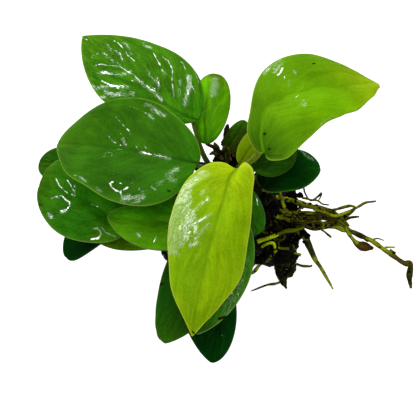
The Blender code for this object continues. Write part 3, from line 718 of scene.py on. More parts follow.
def stalk_route(leaf):
    """Rings (point, radius) of the stalk: up from the rhizome, then on under the blade as its rib."""
    foot = leaf["foot"]
    neck, direction = midrib(leaf, 0.0)
    reach = (neck - foot).length
    lean = Vector((neck.x - foot.x, neck.y - foot.y, 0.0)) * STALK_LEAN
    first = foot + UP * (reach * STALK_RISE) + lean + leaf["bow"]
    last = neck - (direction + UP) * (reach * STALK_ENTRY / 2) + leaf["bow"]
    end, face, _, _ = blade_spot(leaf, STALK_INTO_BLADE, eased(leaf["sway"], STALK_INTO_BLADE))
    thin = leaf["stalk"] * (1 - STALK_TAPER)
    end = end - face * (thin * 0.9)
    rings = []
    for step in range(STALK_STEPS):
        t = step / STALK_STEPS
        lower = foot * (1 - t) ** 3 + first * (3 * t * (1 - t) ** 2)
        upper = last * (3 * t ** 2 * (1 - t)) + end * t ** 3
        radius = leaf["stalk"] * (1 - STALK_TAPER * t) * (1 + STALK_FLARE * math.exp(-9 * t))
        rings.append((lower + upper, radius))
    for step in range(RIB_STEPS + 1):
        share = step / RIB_STEPS
        down = STALK_INTO_BLADE + (RIB_END - STALK_INTO_BLADE) * share
        point, face, _, _ = blade_spot(leaf, down, eased(leaf["sway"], down))
        radius = thin * (1 - share) ** 0.8 + RIB_TIP_RADIUS
        rings.append((point - face * (radius * 0.95 + RIB_DEPTH), radius))
    return rings


# ---- Mesh helpers ----


def new_piece(name, bm, finishes):
    """The finished mesh as an object at the origin, riding on the part's body."""
    mesh = bpy.data.meshes.new(name)
    bm.to_mesh(mesh)
    bm.free()
    mesh.shade_smooth()
    for finish in finishes:
        mesh.materials.append(finish)
    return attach(link(bpy.data.objects.new(name, mesh)), BODY)


def skin_layer(bm):
    """The mesh's one UV map: across a blade or round a tube, then along it."""
    return bm.loops.layers.uv.get("Skin") or bm.loops.layers.uv.new("Skin")


def tube(bm, rings, sides, material=0, squash=None):
    """A closed tube through rings (point, radius): a grid rolled up round the route, with capped ends."""
    uv = skin_layer(bm)
    count = len(rings) - 1
    made = bmesh.ops.create_grid(bm, x_segments=sides, y_segments=count, size=1.0)["verts"]
    faces = {face for vert in made for face in vert.link_faces}
    for face in faces:
        face.material_index = material
        for loop in face.loops:
            loop[uv].uv = ((loop.vert.co.x + 1) / 2, (loop.vert.co.y + 1) / 2)
    frames = []
    side = None
    for step, (point, radius) in enumerate(rings):
        ahead = (rings[min(step + 1, count)][0] - rings[max(step - 1, 0)][0]).normalized()
        if side is None:
            side = ahead.orthogonal().normalized()
        side = (side - ahead * side.dot(ahead)).normalized()
        frames.append((point, side, ahead.cross(side), radius))
    for vert in made:
        point, side, other, radius = frames[round((vert.co.y + 1) / 2 * count)]
        turn = (vert.co.x + 1) * math.pi
        swell = radius if squash is None else radius * squash(point, turn)
        vert.co = point + (side * math.cos(turn) + other * math.sin(turn)) * swell
    bmesh.ops.remove_doubles(bm, verts=made, dist=1e-7)
    made = {vert for face in faces if face.is_valid for vert in face.verts}
    rims = [edge for vert in made for edge in vert.link_edges if edge.is_boundary]
    caps = bmesh.ops.holes_fill(bm, edges=list(set(rims)), sides=0)["faces"]
    for face in caps:
        face.material_index = material
    every = [face for face in faces if face.is_valid] + caps
    bmesh.ops.recalc_face_normals(bm, faces=every)
    return made


def smooth_route(points, steps):
    """Points (x, y, z, radius) in metres joined by a smooth curve, as rings (point, radius)."""
    knots = [points[0] * 2 - points[1], *points, points[-1] * 2 - points[-2]]
    rings = []
    for first, second, third, fourth in zip(knots, knots[1:], knots[2:], knots[3:]):
        for step in range(steps):
            t = step / steps
            spot = (second * 2 + (third - first) * t
                    + (first * 2 - second * 5 + third * 4 - fourth) * t ** 2
                    + (second * 3 - first - third * 3 + fourth) * t ** 3) / 2
            rings.append((spot.xyz, max(spot.w, THINNEST)))
    rings.append((points[-1].xyz, points[-1].w))
    return rings


# ---- Leaf finishes ----


def vein_pattern(made, look, u, v, drift):
    """0 at the midrib to 1 at a margin, the count of side veins, and 1 on a vein to 0 between two."""
    out = abs(u * 2 - 1)
    phase = (v - out ** VEIN_CURVE * look["sweep"]) * look["veins"] + drift
    return out, phase, abs(made.math("FRACT", phase) - 0.5) * 2


def blade_finish(name, look):
    """A blade's upper side: graded and mottled greens, side veins, pale margin, glossy marks with painted
    highlights, and specks.
    """
    made = Finish(name + "_upper")
    u, v, _ = made.parts(made.node("ShaderNodeUVMap", {"uv_map": "Skin"}))
    side, inset, _ = made.parts(made.node("ShaderNodeAttribute", {"attribute_name": "lay"}, out="Vector"))
    marks = made.parts(made.node("ShaderNodeAttribute", {"attribute_name": "marks"}, out="Vector"))
    place = made.place()
    out, phase, beat = vein_pattern(made, look, u, v, (made.noise(place, 160, 3) - 0.5) * 0.5)
    vein = made.smooth(beat, 0.86, 1.0) * (1 - made.smooth(out, 0.80, 1.0))
    mottle = made.noise(made.vector(phase * 0.9, (u * 2 - 1) * 3.2, 1.0), 1.4, 4, 0.5)
    grain = made.noise(place, 1150, 3)

    body = made.mix(made.smooth(u, 0.30, 0.70), look["left"], look["right"])
    body = made.mix(made.smooth(v, 0.42, 0.04), body, look["neck"])
    body = made.mix(made.smooth(v, 0.55, 1.0), body, look["tip"])
    blotchy = look["blotchy"]
    tone = (made.noise(place, 70, 2) - 0.5) * 0.9 + (mottle - 0.5) * (1.5 * blotchy)
    tone += (grain - 0.5) * (0.3 + 0.6 * blotchy)
    # Partly painted shade: the veins lie in the furrows between the quilted swellings, and their darkening
    # stands for shade there as well as their own colour.
    tone += made.math("SINE", phase * 44) * look["hair"] - vein * look["veining"]
    body = made.dim(body, tone + 1)
    warm = tuple(part * more for part, more in zip(look["left"], (2.0, 1.4, 1.0)))
    body = made.mix(made.smooth(mottle, 0.50, 0.70) * (0.40 * blotchy), body, warm)
    rib = (1 - made.smooth(abs(side), 0.25 * MM, 0.9 * MM)) * (1 - made.smooth(v, 0.15, 0.80) * 0.7)
    body = made.mix(rib * 0.7, body, look["rib"])
    edge = 1 - made.smooth(inset, 0.15 * MM, 0.50 * MM)
    band = 1 - made.smooth(inset, 0.3 * MM, 2.0 * MM)
    body = made.mix(band * 0.10 + edge * 0.80, body, look["rim"])

    body, coat, height = glossy_marks(made, look, marks, place, phase, u * 2 - 1, body)
    height = height + grain * 0.02 - vein * 0.02
    return made.surface({
        "Base Color": body, "Roughness": 0.50 + (grain - 0.5) * 0.1, "Specular IOR Level": 0.01,
        "Coat Weight": coat, "Coat Roughness": 0.06, "Coat IOR": 2.6}, height)


def glossy_marks(made, look, marks, place, phase, across, body):
    """Streaks, glossy patches and dark specks: the blade's colour, with a painted highlight at the streaks
    and patches, and its coat weight and relief with them.
    """
    streak, gloss, speck = marks
    shake = (made.noise(place, 700, 2) - 0.5) * (0.5 * MM)
    breaks = made.smooth(made.noise(place, 420, 3), 0.30, 0.44)
    streak_glint = (1 - made.smooth(streak + shake * 1.4 + 0.05 * MM, -0.16 * MM, 0.12 * MM)) * breaks
    patch = 1 - made.smooth(gloss + shake * 3, -0.6 * MM, 0.9 * MM)
    flakes = made.noise(made.vector(phase * 8, across * 17, 0.0), 1.0, 5, 0.5)
    start, strength = look["sheen"]
    ripple = made.noise(place, 1500, 2)
    speckled = made.smooth(ripple, 0.40, 0.58) * 0.65 + 0.35
    sheen_flake = made.smooth(flakes + patch * 0.10, start, start + 0.12) * patch * speckled
    dark = 1 - made.smooth(speck + shake, -0.15 * MM, 0.2 * MM)
    # Painted highlight: the streaks and glossy patches turn the blade's colour towards the pale glint
    # colour, on top of their coat.
    body = made.mix(streak_glint * 0.30 + sheen_flake * (strength * 0.70), body, PAINTED_GLINT)
    body = made.mix(dark * 0.95, body, SPECK)
    coat = made.math("MAXIMUM", streak_glint, sheen_flake * strength)
    bead = 1 - made.smooth(streak, -0.3 * MM, 0.25 * MM)
    return body, coat, bead * 0.16 + sheen_flake * 0.03 + ripple * patch * 0.06


def underside_finish(name, look):
    """A blade's lower side: paler and duller, with the veins standing out."""
    made = Finish(name + "_under")
    u, v, _ = made.parts(made.node("ShaderNodeUVMap", {"uv_map": "Skin"}))
    place = made.place()
    _, _, beat = vein_pattern(made, look, u, v, 0.0)
    vein = made.smooth(beat, 0.70, 1.0)
    cloud = made.noise(place, 90, 3)
    grain = made.noise(place, 1100, 2)
    base = tuple(0.55 * part + 0.45 * pale for part, pale in zip(look["right"], (0.16, 0.27, 0.045)))
    body = made.dim(made.mix(vein * 0.35, base, PALE), 1 + (cloud - 0.5) * 0.4 + (grain - 0.5) * 0.2)
    height = vein * 0.06 + grain * 0.015 + cloud * 0.05
    return made.surface({"Base Color": body, "Roughness": 0.52, "Specular IOR Level": 0.15}, height)


def stalk_finish(name, look):
    """A stalk: the blade's green turning olive and brown towards its foot, with fine lengthwise lines."""
    made = Finish(name + "_stalk")
    around, along, _ = made.parts(made.node("ShaderNodeUVMap", {"uv_map": "Skin"}))
    lines = made.noise(made.vector(around * 26, along * 2.5, 0.0), 1.0, 3)
    blotch = made.noise(made.place(), 300, 3)
    blend = tuple(0.6 * part + 0.4 * olive for part, olive in zip(look["right"], (0.10, 0.15, 0.01)))
    green = look["stem"] or blend
    body = made.mix(made.smooth(along, 0.42, 0.05) * 0.9, green, (0.030, 0.030, 0.004))
    body = made.mix(made.smooth(blotch, 0.52, 0.70) * 0.6, body, (0.022, 0.014, 0.003))
    body = made.dim(body, 0.5 + lines)
    return made.surface({
        "Base Color": body, "Roughness": 0.45 + blotch * 0.2, "Specular IOR Level": 0.03,
        "Coat Weight": 0.10, "Coat Roughness": 0.12}, lines * 0.10 + blotch * 0.12)


def traced(leaf, rows):
    """Rows of marks as routes over the blade, each with its half width, middle and reach."""
    routes = []
    for half, *spots in rows:
        points = [blade_spot(leaf, v, 2 * u - 1)[0] for u, v in spots]
        middle = sum(points, Vector()) / len(points)
        reach = max((point - middle).length for point in points) + half * MM + MARK_REACH
        routes.append((half * MM, points, middle, reach))
    return routes


def outside(point, routes):
    """How far a point lies outside the nearest of the routes, at most MARK_REACH."""
    nearest = MARK_REACH
    for half, points, middle, reach in routes:
        if (point - middle).length < reach:
            for start, end in zip(points, points[1:]):
                spot, share = intersect_point_line(point, start, end)
                spot = start if share < 0 else end if share > 1 else spot
                nearest = min(nearest, (point - spot).length - half)
    return nearest


def build_leaf(node):
    """One leaf: a thin blade with relief on both sides, and its stalk, which runs on below it as the rib."""
    leaf = LEAVES[node]
    look = LOOKS[node]
    length = (leaf["tip"] - leaf["neck"]).length
    columns = max(FEWEST_COLUMNS, round(sum(leaf["half"]) / GRID_STEP))
    rows = max(FEWEST_ROWS, round(length * 1.1 / GRID_STEP))
    bm = bmesh.new()
    uv = skin_layer(bm)
    lay = bm.verts.layers.float_vector.new("lay")
    marks = bm.verts.layers.float_vector.new("marks")
    routes = [traced(leaf, table.get(node, ())) for table in (STREAKS, GLOSS, SPECKS)]
    bmesh.ops.create_grid(bm, x_segments=columns, y_segments=rows, size=1.0)
    for face in bm.faces:
        for loop in face.loops:
            down = (loop.vert.co.y + 1) / 2
            loop[uv].uv = ((from_rib(leaf, down, loop.vert.co.x) + 1) / 2, down)
    upper = bm.verts[:]
    lower = bmesh.ops.duplicate(bm, geom=bm.verts[:] + bm.edges[:] + bm.faces[:])
    under = lower["vert_map"]
    for part in lower["geom"]:
        if isinstance(part, bmesh.types.BMFace):
            part.material_index = 1
    for vert in upper:
        across, down = vert.co.x, (vert.co.y + 1) / 2
        point, face, _, width = blade_spot(leaf, down, across)
        inset = width * (1 - abs(across))
        skin = point + face * relief(leaf, look, down, across, point, width)
        thick = BLADE_THICKNESS + (MARGIN_THICKNESS - BLADE_THICKNESS) * math.exp(-inset / MARGIN_TAPER)
        twin = under[vert]
        vert.co = skin + face * (thick / 2)
        twin.co = skin - face * (thick / 2)
        vert[lay] = twin[lay] = Vector(((across - eased(leaf["sway"], down)) * width, inset, 0.0))
        vert[marks] = Vector([outside(point, kind) for kind in routes])
    rims = [edge for edge in bm.edges if edge.is_boundary]
    bmesh.ops.bridge_loops(bm, edges=rims)
    bmesh.ops.recalc_face_normals(bm, faces=bm.faces)
    tube(bm, stalk_route(leaf), STALK_SIDES, material=2)
    name = "_".join([*node.split("_")[1:], "leaf"])
    finishes = [make(name, look) for make in (blade_finish, underside_finish, stalk_finish)]
    piece = new_piece(name, bm, finishes)
    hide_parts(node)


# ---- Stone ----

# The solid's own numbers. Lumps, ridges and hollows are a height as a share of the stone, a noise scale
# and a place in the noise.
STONE_HALF = Vector((0.029, 0.021, 0.0186))
STONE_CENTRE = Vector((0, 0, 0.010))
STONE_SQUARENESS = 0.96
BROAD_LUMPS = (0.09, 1.3, Vector((3.1, 0.4, 7.7)))
FINE_LUMPS = (0.06, 3.1, Vector((1.7, 5.2, 0.6)))
RIDGES = (0.12, 2.1, Vector((8.2, 2.6, 5.1)))
HOLLOWS = (0.09, 3.6, Vector((0.3, 1.9, 4.4)))
HOLLOW_WIDTH = 0.50
STONE_CORNERS = ((Vector((-0.83, -0.55, -0.05)), 0.30), (Vector((0.80, -0.60, -0.10)), 0.24))
CORNER_TIGHTNESS = 8

# The scene's own: pores as noise scale, width and depth, and grit as noise scale and height.
STONE_FACETS = 7
PORE_PLACE = Vector((0.3, 1.9, 4.4))
PORES = ((8.5, 0.40, 0.8 * MM), (19.0, 0.40, 0.5 * MM))
GRIT = ((11, 0.5 * MM), (27, 0.40 * MM), (60, 0.18 * MM))


def stone_reach(direction):
    """The solid stone's surface in a direction from its centre: lumps, ridges, hollows and corners."""
    size = 1.0
    for height, scale, place in (BROAD_LUMPS, FINE_LUMPS):
        size += height * noise.noise(direction * scale + place)
    height, scale, place = RIDGES
    size += height * (0.5 - 2 * abs(noise.noise(direction * scale + place)))
    depth, scale, place = HOLLOWS
    nearest = noise.voronoi(direction * scale + place)[0][0]
    size -= depth * max(0.0, 1 - (nearest / HOLLOW_WIDTH) ** 2)
    for corner, swell in STONE_CORNERS:
        size += swell * max(0.0, direction.dot(corner.normalized())) ** CORNER_TIGHTNESS
    squared = Vector([math.copysign(abs(part) ** STONE_SQUARENESS, part) for part in direction])
    return squared * STONE_HALF * size


def stone_finish():
    made = Finish("black_stone")
    place = made.place()
    broad = made.noise(place, 70, 4)
    grit = made.noise(place, 900, 3)
    cells = made.cells(place, 700)
    body = made.mix(made.smooth(broad, 0.35, 0.75), (0.0015, 0.0015, 0.001), (0.007, 0.007, 0.005))
    body = made.mix(made.smooth(grit, 0.60, 0.74) * 0.6, body, (0.035, 0.034, 0.024))
    body = made.mix(made.smooth(made.noise(place, 130, 3), 0.60, 0.75) * 0.5, body, (0.022, 0.034, 0.006))
    roughness = 0.30 + broad * 0.35 - made.smooth(grit, 0.5, 0.7) * 0.15
    height = broad * 0.3 + grit * 0.14 + cells * 0.10
    return made.surface({
        "Base Color": body, "Roughness": roughness, "Specular IOR Level": 0.03,
        "Coat Weight": made.smooth(grit, 0.56, 0.66) * 0.5, "Coat Roughness": 0.12}, height)


def build_stone():
    """A dark porous stone, cut flat underneath, with pores of two sizes and grit of three."""
    bm = bmesh.new()
    bmesh.ops.create_icosphere(bm, subdivisions=STONE_FACETS, radius=1.0)
    for vert in bm.verts:
        way = vert.co.normalized()
        sink = 0.0
        for scale, width, depth in PORES:
            near = noise.voronoi(way * scale + PORE_PLACE)[0][0]
            sink -= depth * max(0.0, 1 - (near / width) ** 2)
        for scale, height in GRIT:
            sink += height * noise.noise(way * scale)
        reach = stone_reach(way)
        vert.co = STONE_CENTRE + reach.normalized() * (reach.length + sink)
    whole = bm.verts[:] + bm.edges[:] + bm.faces[:]
    cut = bmesh.ops.bisect_plane(bm, geom=whole, plane_co=(0, 0, 0), plane_no=UP, clear_inner=True)
    rim = [part for part in cut["geom_cut"] if isinstance(part, bmesh.types.BMEdge)]
    bmesh.ops.edgeloop_fill(bm, edges=rim)
    bmesh.ops.recalc_face_normals(bm, faces=bm.faces)
    piece = new_piece("porous_stone", bm, [stone_finish()])
    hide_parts("stone")


# ---- Rhizome and old leaf sheaths ----

# The solid's own route, as points (x, y, z) in millimetres and a share of its radius.
RHIZOME_RADIUS = 5.2 * MM
RHIZOME_ROUTE = (
    (-7.5, 18.5, 38.0, 0.35), (-4.0, 15.5, 37.0, 0.85), (1.5, 10.5, 36.2, 1.00), (7.5, 5.0, 35.5, 1.05),
    (13.0, 0.5, 34.0, 1.00), (17.0, -3.0, 32.5, 0.70),
)
RHIZOME_STEPS = 16
RHIZOME_SIDES = 36
BARK_SHARE = 0.98
SCAR_SPACING = 2.1 * MM


def bark_finish(name, light, dark, stripe=26):
    """Stem tissue: light streaks along it and dark patches of dirt."""
    made = Finish(name)
    around, along, _ = made.parts(made.node("ShaderNodeUVMap", {"uv_map": "Skin"}))
    place = made.place()
    dirt = made.noise(place, 260, 4)
    lines = made.noise(made.vector(around * stripe, along * 3, 0.0), 1.0, 3)
    body = made.mix(made.smooth(dirt, 0.42, 0.60), light, dark)
    body = made.dim(body, 0.6 + lines * 0.8)
    height = lines * 0.15 + dirt * 0.35 + made.noise(place, 1200, 2) * 0.05
    return made.surface({
        "Base Color": body, "Roughness": 0.45 + dirt * 0.3, "Specular IOR Level": 0.06}, height)


def scars(point, turn):
    """Ring scars and uneven bark on the rhizome, as a factor of its radius."""
    ring = abs(math.sin(math.pi * (point.x - point.y * 0.8) / SCAR_SPACING))
    return 0.92 + 0.09 * ring ** 0.6 + 0.10 * noise.noise(point * 260 + Vector((turn, 0, 0)))


def build_rhizome():
    bm = bmesh.new()
    radius = RHIZOME_RADIUS * BARK_SHARE
    route = [Vector((*in_metres(spot), radius * share)) for *spot, share in RHIZOME_ROUTE]
    tube(bm, smooth_route(route, RHIZOME_STEPS), RHIZOME_SIDES, squash=scars)
    bark = bark_finish("rhizome_bark", (0.010, 0.010, 0.002), (0.002, 0.002, 0.001))
    piece = new_piece("scarred_rhizome", bm, [bark])
    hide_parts("rhizome")


# One row a sheath, by the leaf whose stalk it clasps: its height in millimetres, how far round the stalk it
# reaches and which way it faces, both in radians, and whether it is tan or brown.
SHEATHS = {
    "leaf_top": (6.5, 3.6, 2.2, "tan"), "leaf_bud": (7.0, 3.8, 0.4, "tan"),
    "leaf_left": (6.0, 3.2, 3.0, "tan"), "leaf_top_left": (5.5, 3.4, 1.2, "brown"),
    "leaf_lime": (8.0, 3.6, 4.6, "brown"),
    "leaf_right": (7.5, 3.4, 5.6, "brown"), "leaf_young": (8.5, 4.0, 1.6, "tan"),
    "leaf_far_right": (5.0, 3.2, 0.2, "brown"), "leaf_low_right": (6.0, 3.4, 5.2, "brown"),
    "leaf_front": (5.5, 3.4, 4.0, "tan"), "leaf_small": (5.0, 3.6, 5.5, "brown"),
    "leaf_under_right": (5.0, 3.2, 0.9, "brown"),
}
SHEATH_COLUMNS = 22
SHEATH_ROWS = 12
SHEATH_WALL = 0.22 * MM


def add_sheath(bm, order, leaf, height, turn, facing, tone):
    """One sheath as a sheet wrapped round the foot of the leaf's stalk, with a torn top."""
    uv = skin_layer(bm)
    rings = stalk_route(leaf)
    foot = rings[0][0]
    axis = (rings[5][0] - foot).normalized()
    side = axis.orthogonal().normalized()
    other = axis.cross(side)
    sheet = bmesh.ops.create_grid(bm, x_segments=SHEATH_COLUMNS, y_segments=SHEATH_ROWS, size=1.0)
    made = sheet["verts"]
    for face in {face for vert in made for face in vert.link_faces}:
        face.material_index = ("tan", "brown").index(tone)
        for loop in face.loops:
            loop[uv].uv = ((loop.vert.co.x + 1) / 2, (loop.vert.co.y + 1) / 2)
    for vert in made:
        across, up = vert.co.x, (vert.co.y + 1) / 2
        torn = 0.62 + 0.55 * noise.noise(Vector((across * 2.6, order * 3.7, 0.0))) - 0.45 * across ** 2
        rise = up * height * MM * max(0.15, torn + 0.25)
        angle = facing + across * turn / 2
        radius = leaf["stalk"] * (1.75 - 0.25 * up + 0.55 * up ** 3)
        radius *= 1 + 0.10 * noise.noise(Vector((across * 4, up * 3, order)))
        vert.co = foot + axis * rise + (side * math.cos(angle) + other * math.sin(angle)) * radius


def build_sheaths():
    """Dry remains of the scale leaves that clasp the feet of the stalks."""
    bm = bmesh.new()
    for order, (node, row) in enumerate(SHEATHS.items()):
        add_sheath(bm, order, LEAVES[node], *row)
    bmesh.ops.recalc_face_normals(bm, faces=bm.faces)
    finishes = [bark_finish("tan_sheath", (0.22, 0.14, 0.035), (0.022, 0.011, 0.003), 40),
                bark_finish("brown_sheath", (0.030, 0.020, 0.005), (0.005, 0.003, 0.001), 40)]
    piece = new_piece("old_sheaths", bm, finishes)
    wall = piece.modifiers.new("wall", "SOLIDIFY")
    wall.thickness = SHEATH_WALL
    wall.offset = 0.0


# ---- Roots ----

# The main roots' routes, as points (x, y, z, radius) in millimetres. Most repeat their solids' own. To
# follow the photograph more closely, the upright, bright and hook roots run up to 4 mm beside their solids,
# the clump begins 9 mm further in than its solid, and the bulb and lower roots are up to 0.5 mm thicker.
# The clump's radius is how far its strands spread.
ROOTS = {
    "root_bulb": (
        (19, 2.3, 31.6, 1.1), (25, 2, 29.5, 1.1), (30, 1.6, 27, 1.1), (39, 0, 25, 1), (45, -1, 23, 1),
        (48.5, -4, 20, 1), (52, -7.5, 15, 0.9), (54.5, -9.8, 11, 0.9), (57.5, -11, 8, 1.6),
        (60.8, -11.6, 7, 2.1), (64, -12.2, 6.6, 0.7)),
    "root_long": (
        (18.8, -5.2, 28.6, 1.2), (25.8, -5.6, 24.3, 1.2), (35.4, -4.7, 17.5, 1.2), (46, -4, 13, 1.2),
        (53, -6, 11.5, 1.2), (60, -8.5, 11, 1.1), (68.4, -14.2, 10, 1.1), (76.8, -20, 9.5, 1.2),
        (79.8, -20.5, 8.8, 1.3), (79.5, -25, 6.5, 1.4), (80.5, -29.7, 3, 0.6)),
    "root_middle": (
        (19, -1.6, 28, 1), (26, -1.8, 25.5, 1), (32, -2, 23, 1), (40, -2.5, 19.5, 0.9),
        (47, -2, 17.2, 0.8), (56, -0.5, 16, 0.5)),
    "root_rising": (
        (35.5, -1.2, 27.3, 0.7), (44, -4.2, 27, 0.7), (50, -2.7, 26.2, 0.7), (54.8, 0.1, 26.2, 0.6),
        (58.7, 1.6, 27, 0.6), (62.9, 2.1, 28, 0.4)),
    "root_upright": (
        (22.5, -2.8, 32.5, 0.8), (20.8, 0.6, 35, 0.8), (20, 3.7, 37.2, 0.6), (20.5, 6.5, 40.5, 0.4)),
    "root_bright": (
        (10.8, -15.8, 25.2, 1), (14.5, -14.6, 25.2, 1.1), (19, -12.6, 25.2, 1), (23, -11.3, 25.5, 1),
        (27.5, -10.2, 25, 0.9), (31.5, -9, 24.5, 0.6)),
    "root_hook": (
        (13, -16.6, 21.2, 0.7), (15.3, -15.7, 23, 0.8), (17.8, -15.4, 23, 0.8), (18.7, -17.2, 21.2, 0.6)),
    "root_lower": (
        (30.8, -8, 19.4, 1.4), (32.5, -9.4, 16.2, 1.5), (34.1, -11.9, 13, 1.4), (36.8, -17.5, 10, 1.2),
        (40.4, -22.9, 8, 0.8), (43.6, -27.1, 5, 0.6), (45.5, -30.2, 3, 0.4)),
    "root_clump": (
        (22, -13.5, 18, 4.6), (23.2, -17, 14, 5), (23.9, -20, 9.8, 5.2), (24, -22.4, 7, 4.6),
        (23.2, -25, 4.8, 2.6), (23.8, -27.6, 3, 1.2), (24.8, -29.6, 1.8, 0.4)),
    "root_trailing": (
        (23.5, -26.2, 3, 0.7), (19.5, -27.5, 2.6, 0.6), (15, -28.6, 2.4, 0.5), (8.8, -30.8, 2, 0.3)),
    "root_side": (
        (29, -19.8, 7.5, 0.6), (32.5, -20.7, 6.6, 0.6), (35.3, -20.8, 6, 0.5), (36.2, -20, 5.8, 0.4)),
}
ROOT_STEPS = 12
ROOT_SIDES = 14
ROOT_WANDER = 0.5 * MM

# Roots too thin for a solid of their own, as points (x, y, z, radius) in millimetres.
STRANDS = {
    "upper": (
        (15.5, 0.5, 32, 0.9), (20.7, 1.4, 31, 0.9), (26, 1.3, 30, 0.9), (30.9, -0.4, 28.5, 0.9),
        (36.6, -0.9, 27.5, 0.9), (42.8, -2.4, 26.5, 0.8), (47.2, -4.2, 25, 0.7), (51.4, -7.2, 22, 0.5)),
    "arch": (
        (39.2, -2.4, 27.5, 0.6), (44.5, -1.7, 27, 0.7), (48.4, -0.5, 27.5, 0.7), (51.5, 0, 27.5, 0.7),
        (53.7, -1, 27, 0.6), (52, -2.7, 26, 0.6), (49.4, -4.2, 25, 0.5), (46.5, -4.7, 24, 0.4)),
    "forked": (
        (37.8, -2.4, 24, 0.6), (43.4, -3, 24.5, 0.7), (48.6, -3.2, 25, 0.7), (51.7, -2, 25.5, 0.6),
        (53.8, -0.8, 26, 0.4)),
    "prong": (
        (41.6, -3.1, 21, 0.6), (46.4, -4, 21, 0.7), (49.9, -4.2, 21.5, 0.7), (52.5, -3.2, 22, 0.6),
        (56, -3, 22.5, 0.4)),
    "middle_top": (
        (18.1, -2, 30, 0.6), (21.1, -3.2, 29.5, 0.8), (25.1, -3.7, 28.5, 0.9), (31.8, -3.1, 27, 0.9),
        (38.5, -2.8, 25, 0.9), (45.9, -3.9, 22, 0.8), (50.5, -6.1, 19, 0.7)),
    "fan_a": (
        (17.2, -4.8, 29, 0.6), (20.7, -5.1, 28.5, 0.8), (24.3, -4, 28, 0.8), (29.6, -4.6, 26, 0.8),
        (36.8, -4.3, 24, 0.8), (44.1, -4.2, 21.5, 0.8), (48.7, -5.1, 20, 0.6)),
    "fan_b": (
        (21.4, -6.1, 25, 0.7), (27.1, -6.1, 25, 0.8), (33.3, -5.7, 24, 0.8), (38.7, -5.8, 22, 0.8),
        (44.6, -5, 21, 0.8), (49.8, -5.7, 18, 0.7), (53.7, -7, 15, 0.6)),
    "fan_c": (
        (25.4, -9.1, 22, 0.6), (30.7, -7.6, 23, 0.8), (36.1, -8.3, 21, 0.8), (41.5, -7.4, 20, 0.7),
        (46, -5.5, 20, 0.7), (51.3, -5.8, 17, 0.5)),
    "loop": (
        (31.4, -6.8, 24.5, 0.7), (34.5, -6.3, 24.5, 0.7), (38.1, -5.7, 24, 0.6), (39.9, -7.2, 23, 0.6),
        (39, -8.7, 22, 0.5), (41.4, -9.8, 20, 0.45), (43.8, -10.9, 18, 0.5)),
    "curl": ((22.4, -5.3, 29, 0.5), (23.2, -7.2, 29, 0.55), (25, -7.4, 28.5, 0.5), (26.3, -6, 28.5, 0.35)),
    "nub": ((18.9, -1.4, 31, 0.6), (20.6, -3.1, 30.5, 0.75), (23.2, -4.3, 30, 0.8)),
    "short_a": ((28.1, -3.4, 29, 0.5), (29.4, -2.2, 29.5, 0.45), (30.8, -1.3, 29.5, 0.3)),
    "side_top": (
        (30.5, 3.2, 29, 0.5), (33.1, 2.7, 29, 0.55), (35.3, 2.4, 28.5, 0.5), (37.5, 3.9, 29.5, 0.45),
        (38.8, 5.1, 30, 0.45), (38.5, 3.8, 28.5, 0.35), (37.9, 2.8, 27.5, 0.25)),
    "side_low": ((34, 2.4, 28.5, 0.5), (37.6, 2.1, 28, 0.45), (39.7, 0.9, 27.5, 0.4), (42.4, 0.7, 27, 0.3)),
    "side_up": ((30, 8, 32, 0.35), (31.3, 6.8, 31.5, 0.4), (31.8, 4.9, 30.5, 0.4), (33.1, 2.6, 29.2, 0.4)),
    "brown_run": (
        (28.1, -8.9, 24, 0.6), (29.5, -11.1, 22.5, 0.75), (31.8, -12.7, 20.5, 0.75),
        (34.2, -12.9, 18.5, 0.55)),
    "fork_low": (
        (21.7, -11.4, 24.2, 0.6), (23, -12.5, 23.5, 0.6), (22.2, -13.7, 23, 0.45), (20.9, -14.3, 22, 0.3)),
    "stub": (
        (23.6, -15.5, 15, 0.5), (26.3, -16.5, 14, 0.6), (29.4, -17.1, 13, 0.6), (30.8, -17.6, 12.5, 0.75)),
    "pale_tip": ((19.8, -16.8, 21, 0.6), (22.4, -17.4, 20.5, 0.7), (25, -17.2, 20.5, 0.6)),
    "hook_leg": (
        (19.4, -17.4, 19.5, 0.9), (17.7, -19.1, 17.5, 1), (16.5, -20.3, 15.5, 0.9), (14.8, -21.2, 14, 0.6)),
    "left_low": (
        (13.6, -20.3, 10, 0.6), (11.9, -21.3, 7.5, 0.8), (10.2, -22.4, 5, 0.9), (8.4, -23.1, 3, 0.5)),
    "spur_a": ((63.6, -9.4, 10.6, 0.45), (65.8, -9.3, 11, 0.4), (68.4, -10, 11.2, 0.25)),
    "spur_b": ((68.8, -13.1, 10.3, 0.5), (71, -12.9, 10.6, 0.45), (73.2, -13, 10.8, 0.3)),
    "spur_c": ((59.2, -7.6, 10.4, 0.8), (60.7, -8.6, 9.2, 0.9), (61.5, -9.2, 8.2, 0.5)),
    "spur_d": ((70.9, -14.2, 10.2, 0.6), (72.1, -15.3, 10.6, 0.5), (73.4, -15.8, 10.6, 0.35)),
}
LIVELY_STRANDS = ("hook_leg", "pale_tip", "stub", "left_low", "spur_a", "spur_b")        # fresh and green
STRAND_SEED = 20
STRAND_STEPS = 9
STRAND_SIDES = 10
STRAND_WANDER = 0.4 * MM

# Dry brown and tan remains of older leaves round the crown, as points (x, y, z, radius) in millimetres.
TWIGS = {
    "left_scale": ((-9.8, 18, 42, 0.5), (-8, 18.6, 42.5, 1), (-5.8, 17.4, 42, 0.9), (-4, 16, 41, 0.5)),
    "right_scale": ((-1.4, 21.6, 43, 0.4), (-0.2, 20.4, 43.5, 1), (0.6, 18.6, 43, 0.8), (0.4, 17, 42, 0.5)),
    "bud_twig": ((1.6, 19.5, 43, 0.7), (2.8, 22.8, 45, 0.8), (3.9, 25.3, 46, 0.4)),
    "front_twig": ((-2.8, 25, 44.5, 0.6), (-1.8, 23, 44, 1), (-1, 20.6, 42.5, 0.9)),
    "dark_twig": ((-2, 30, 47, 0.5), (-2.5, 27.5, 46, 1.1), (-3.1, 24.6, 43.5, 0.9)),
}
TWIG_SEED = 70
TWIG_SIDES = 12
TWIG_WANDER = 0.3 * MM

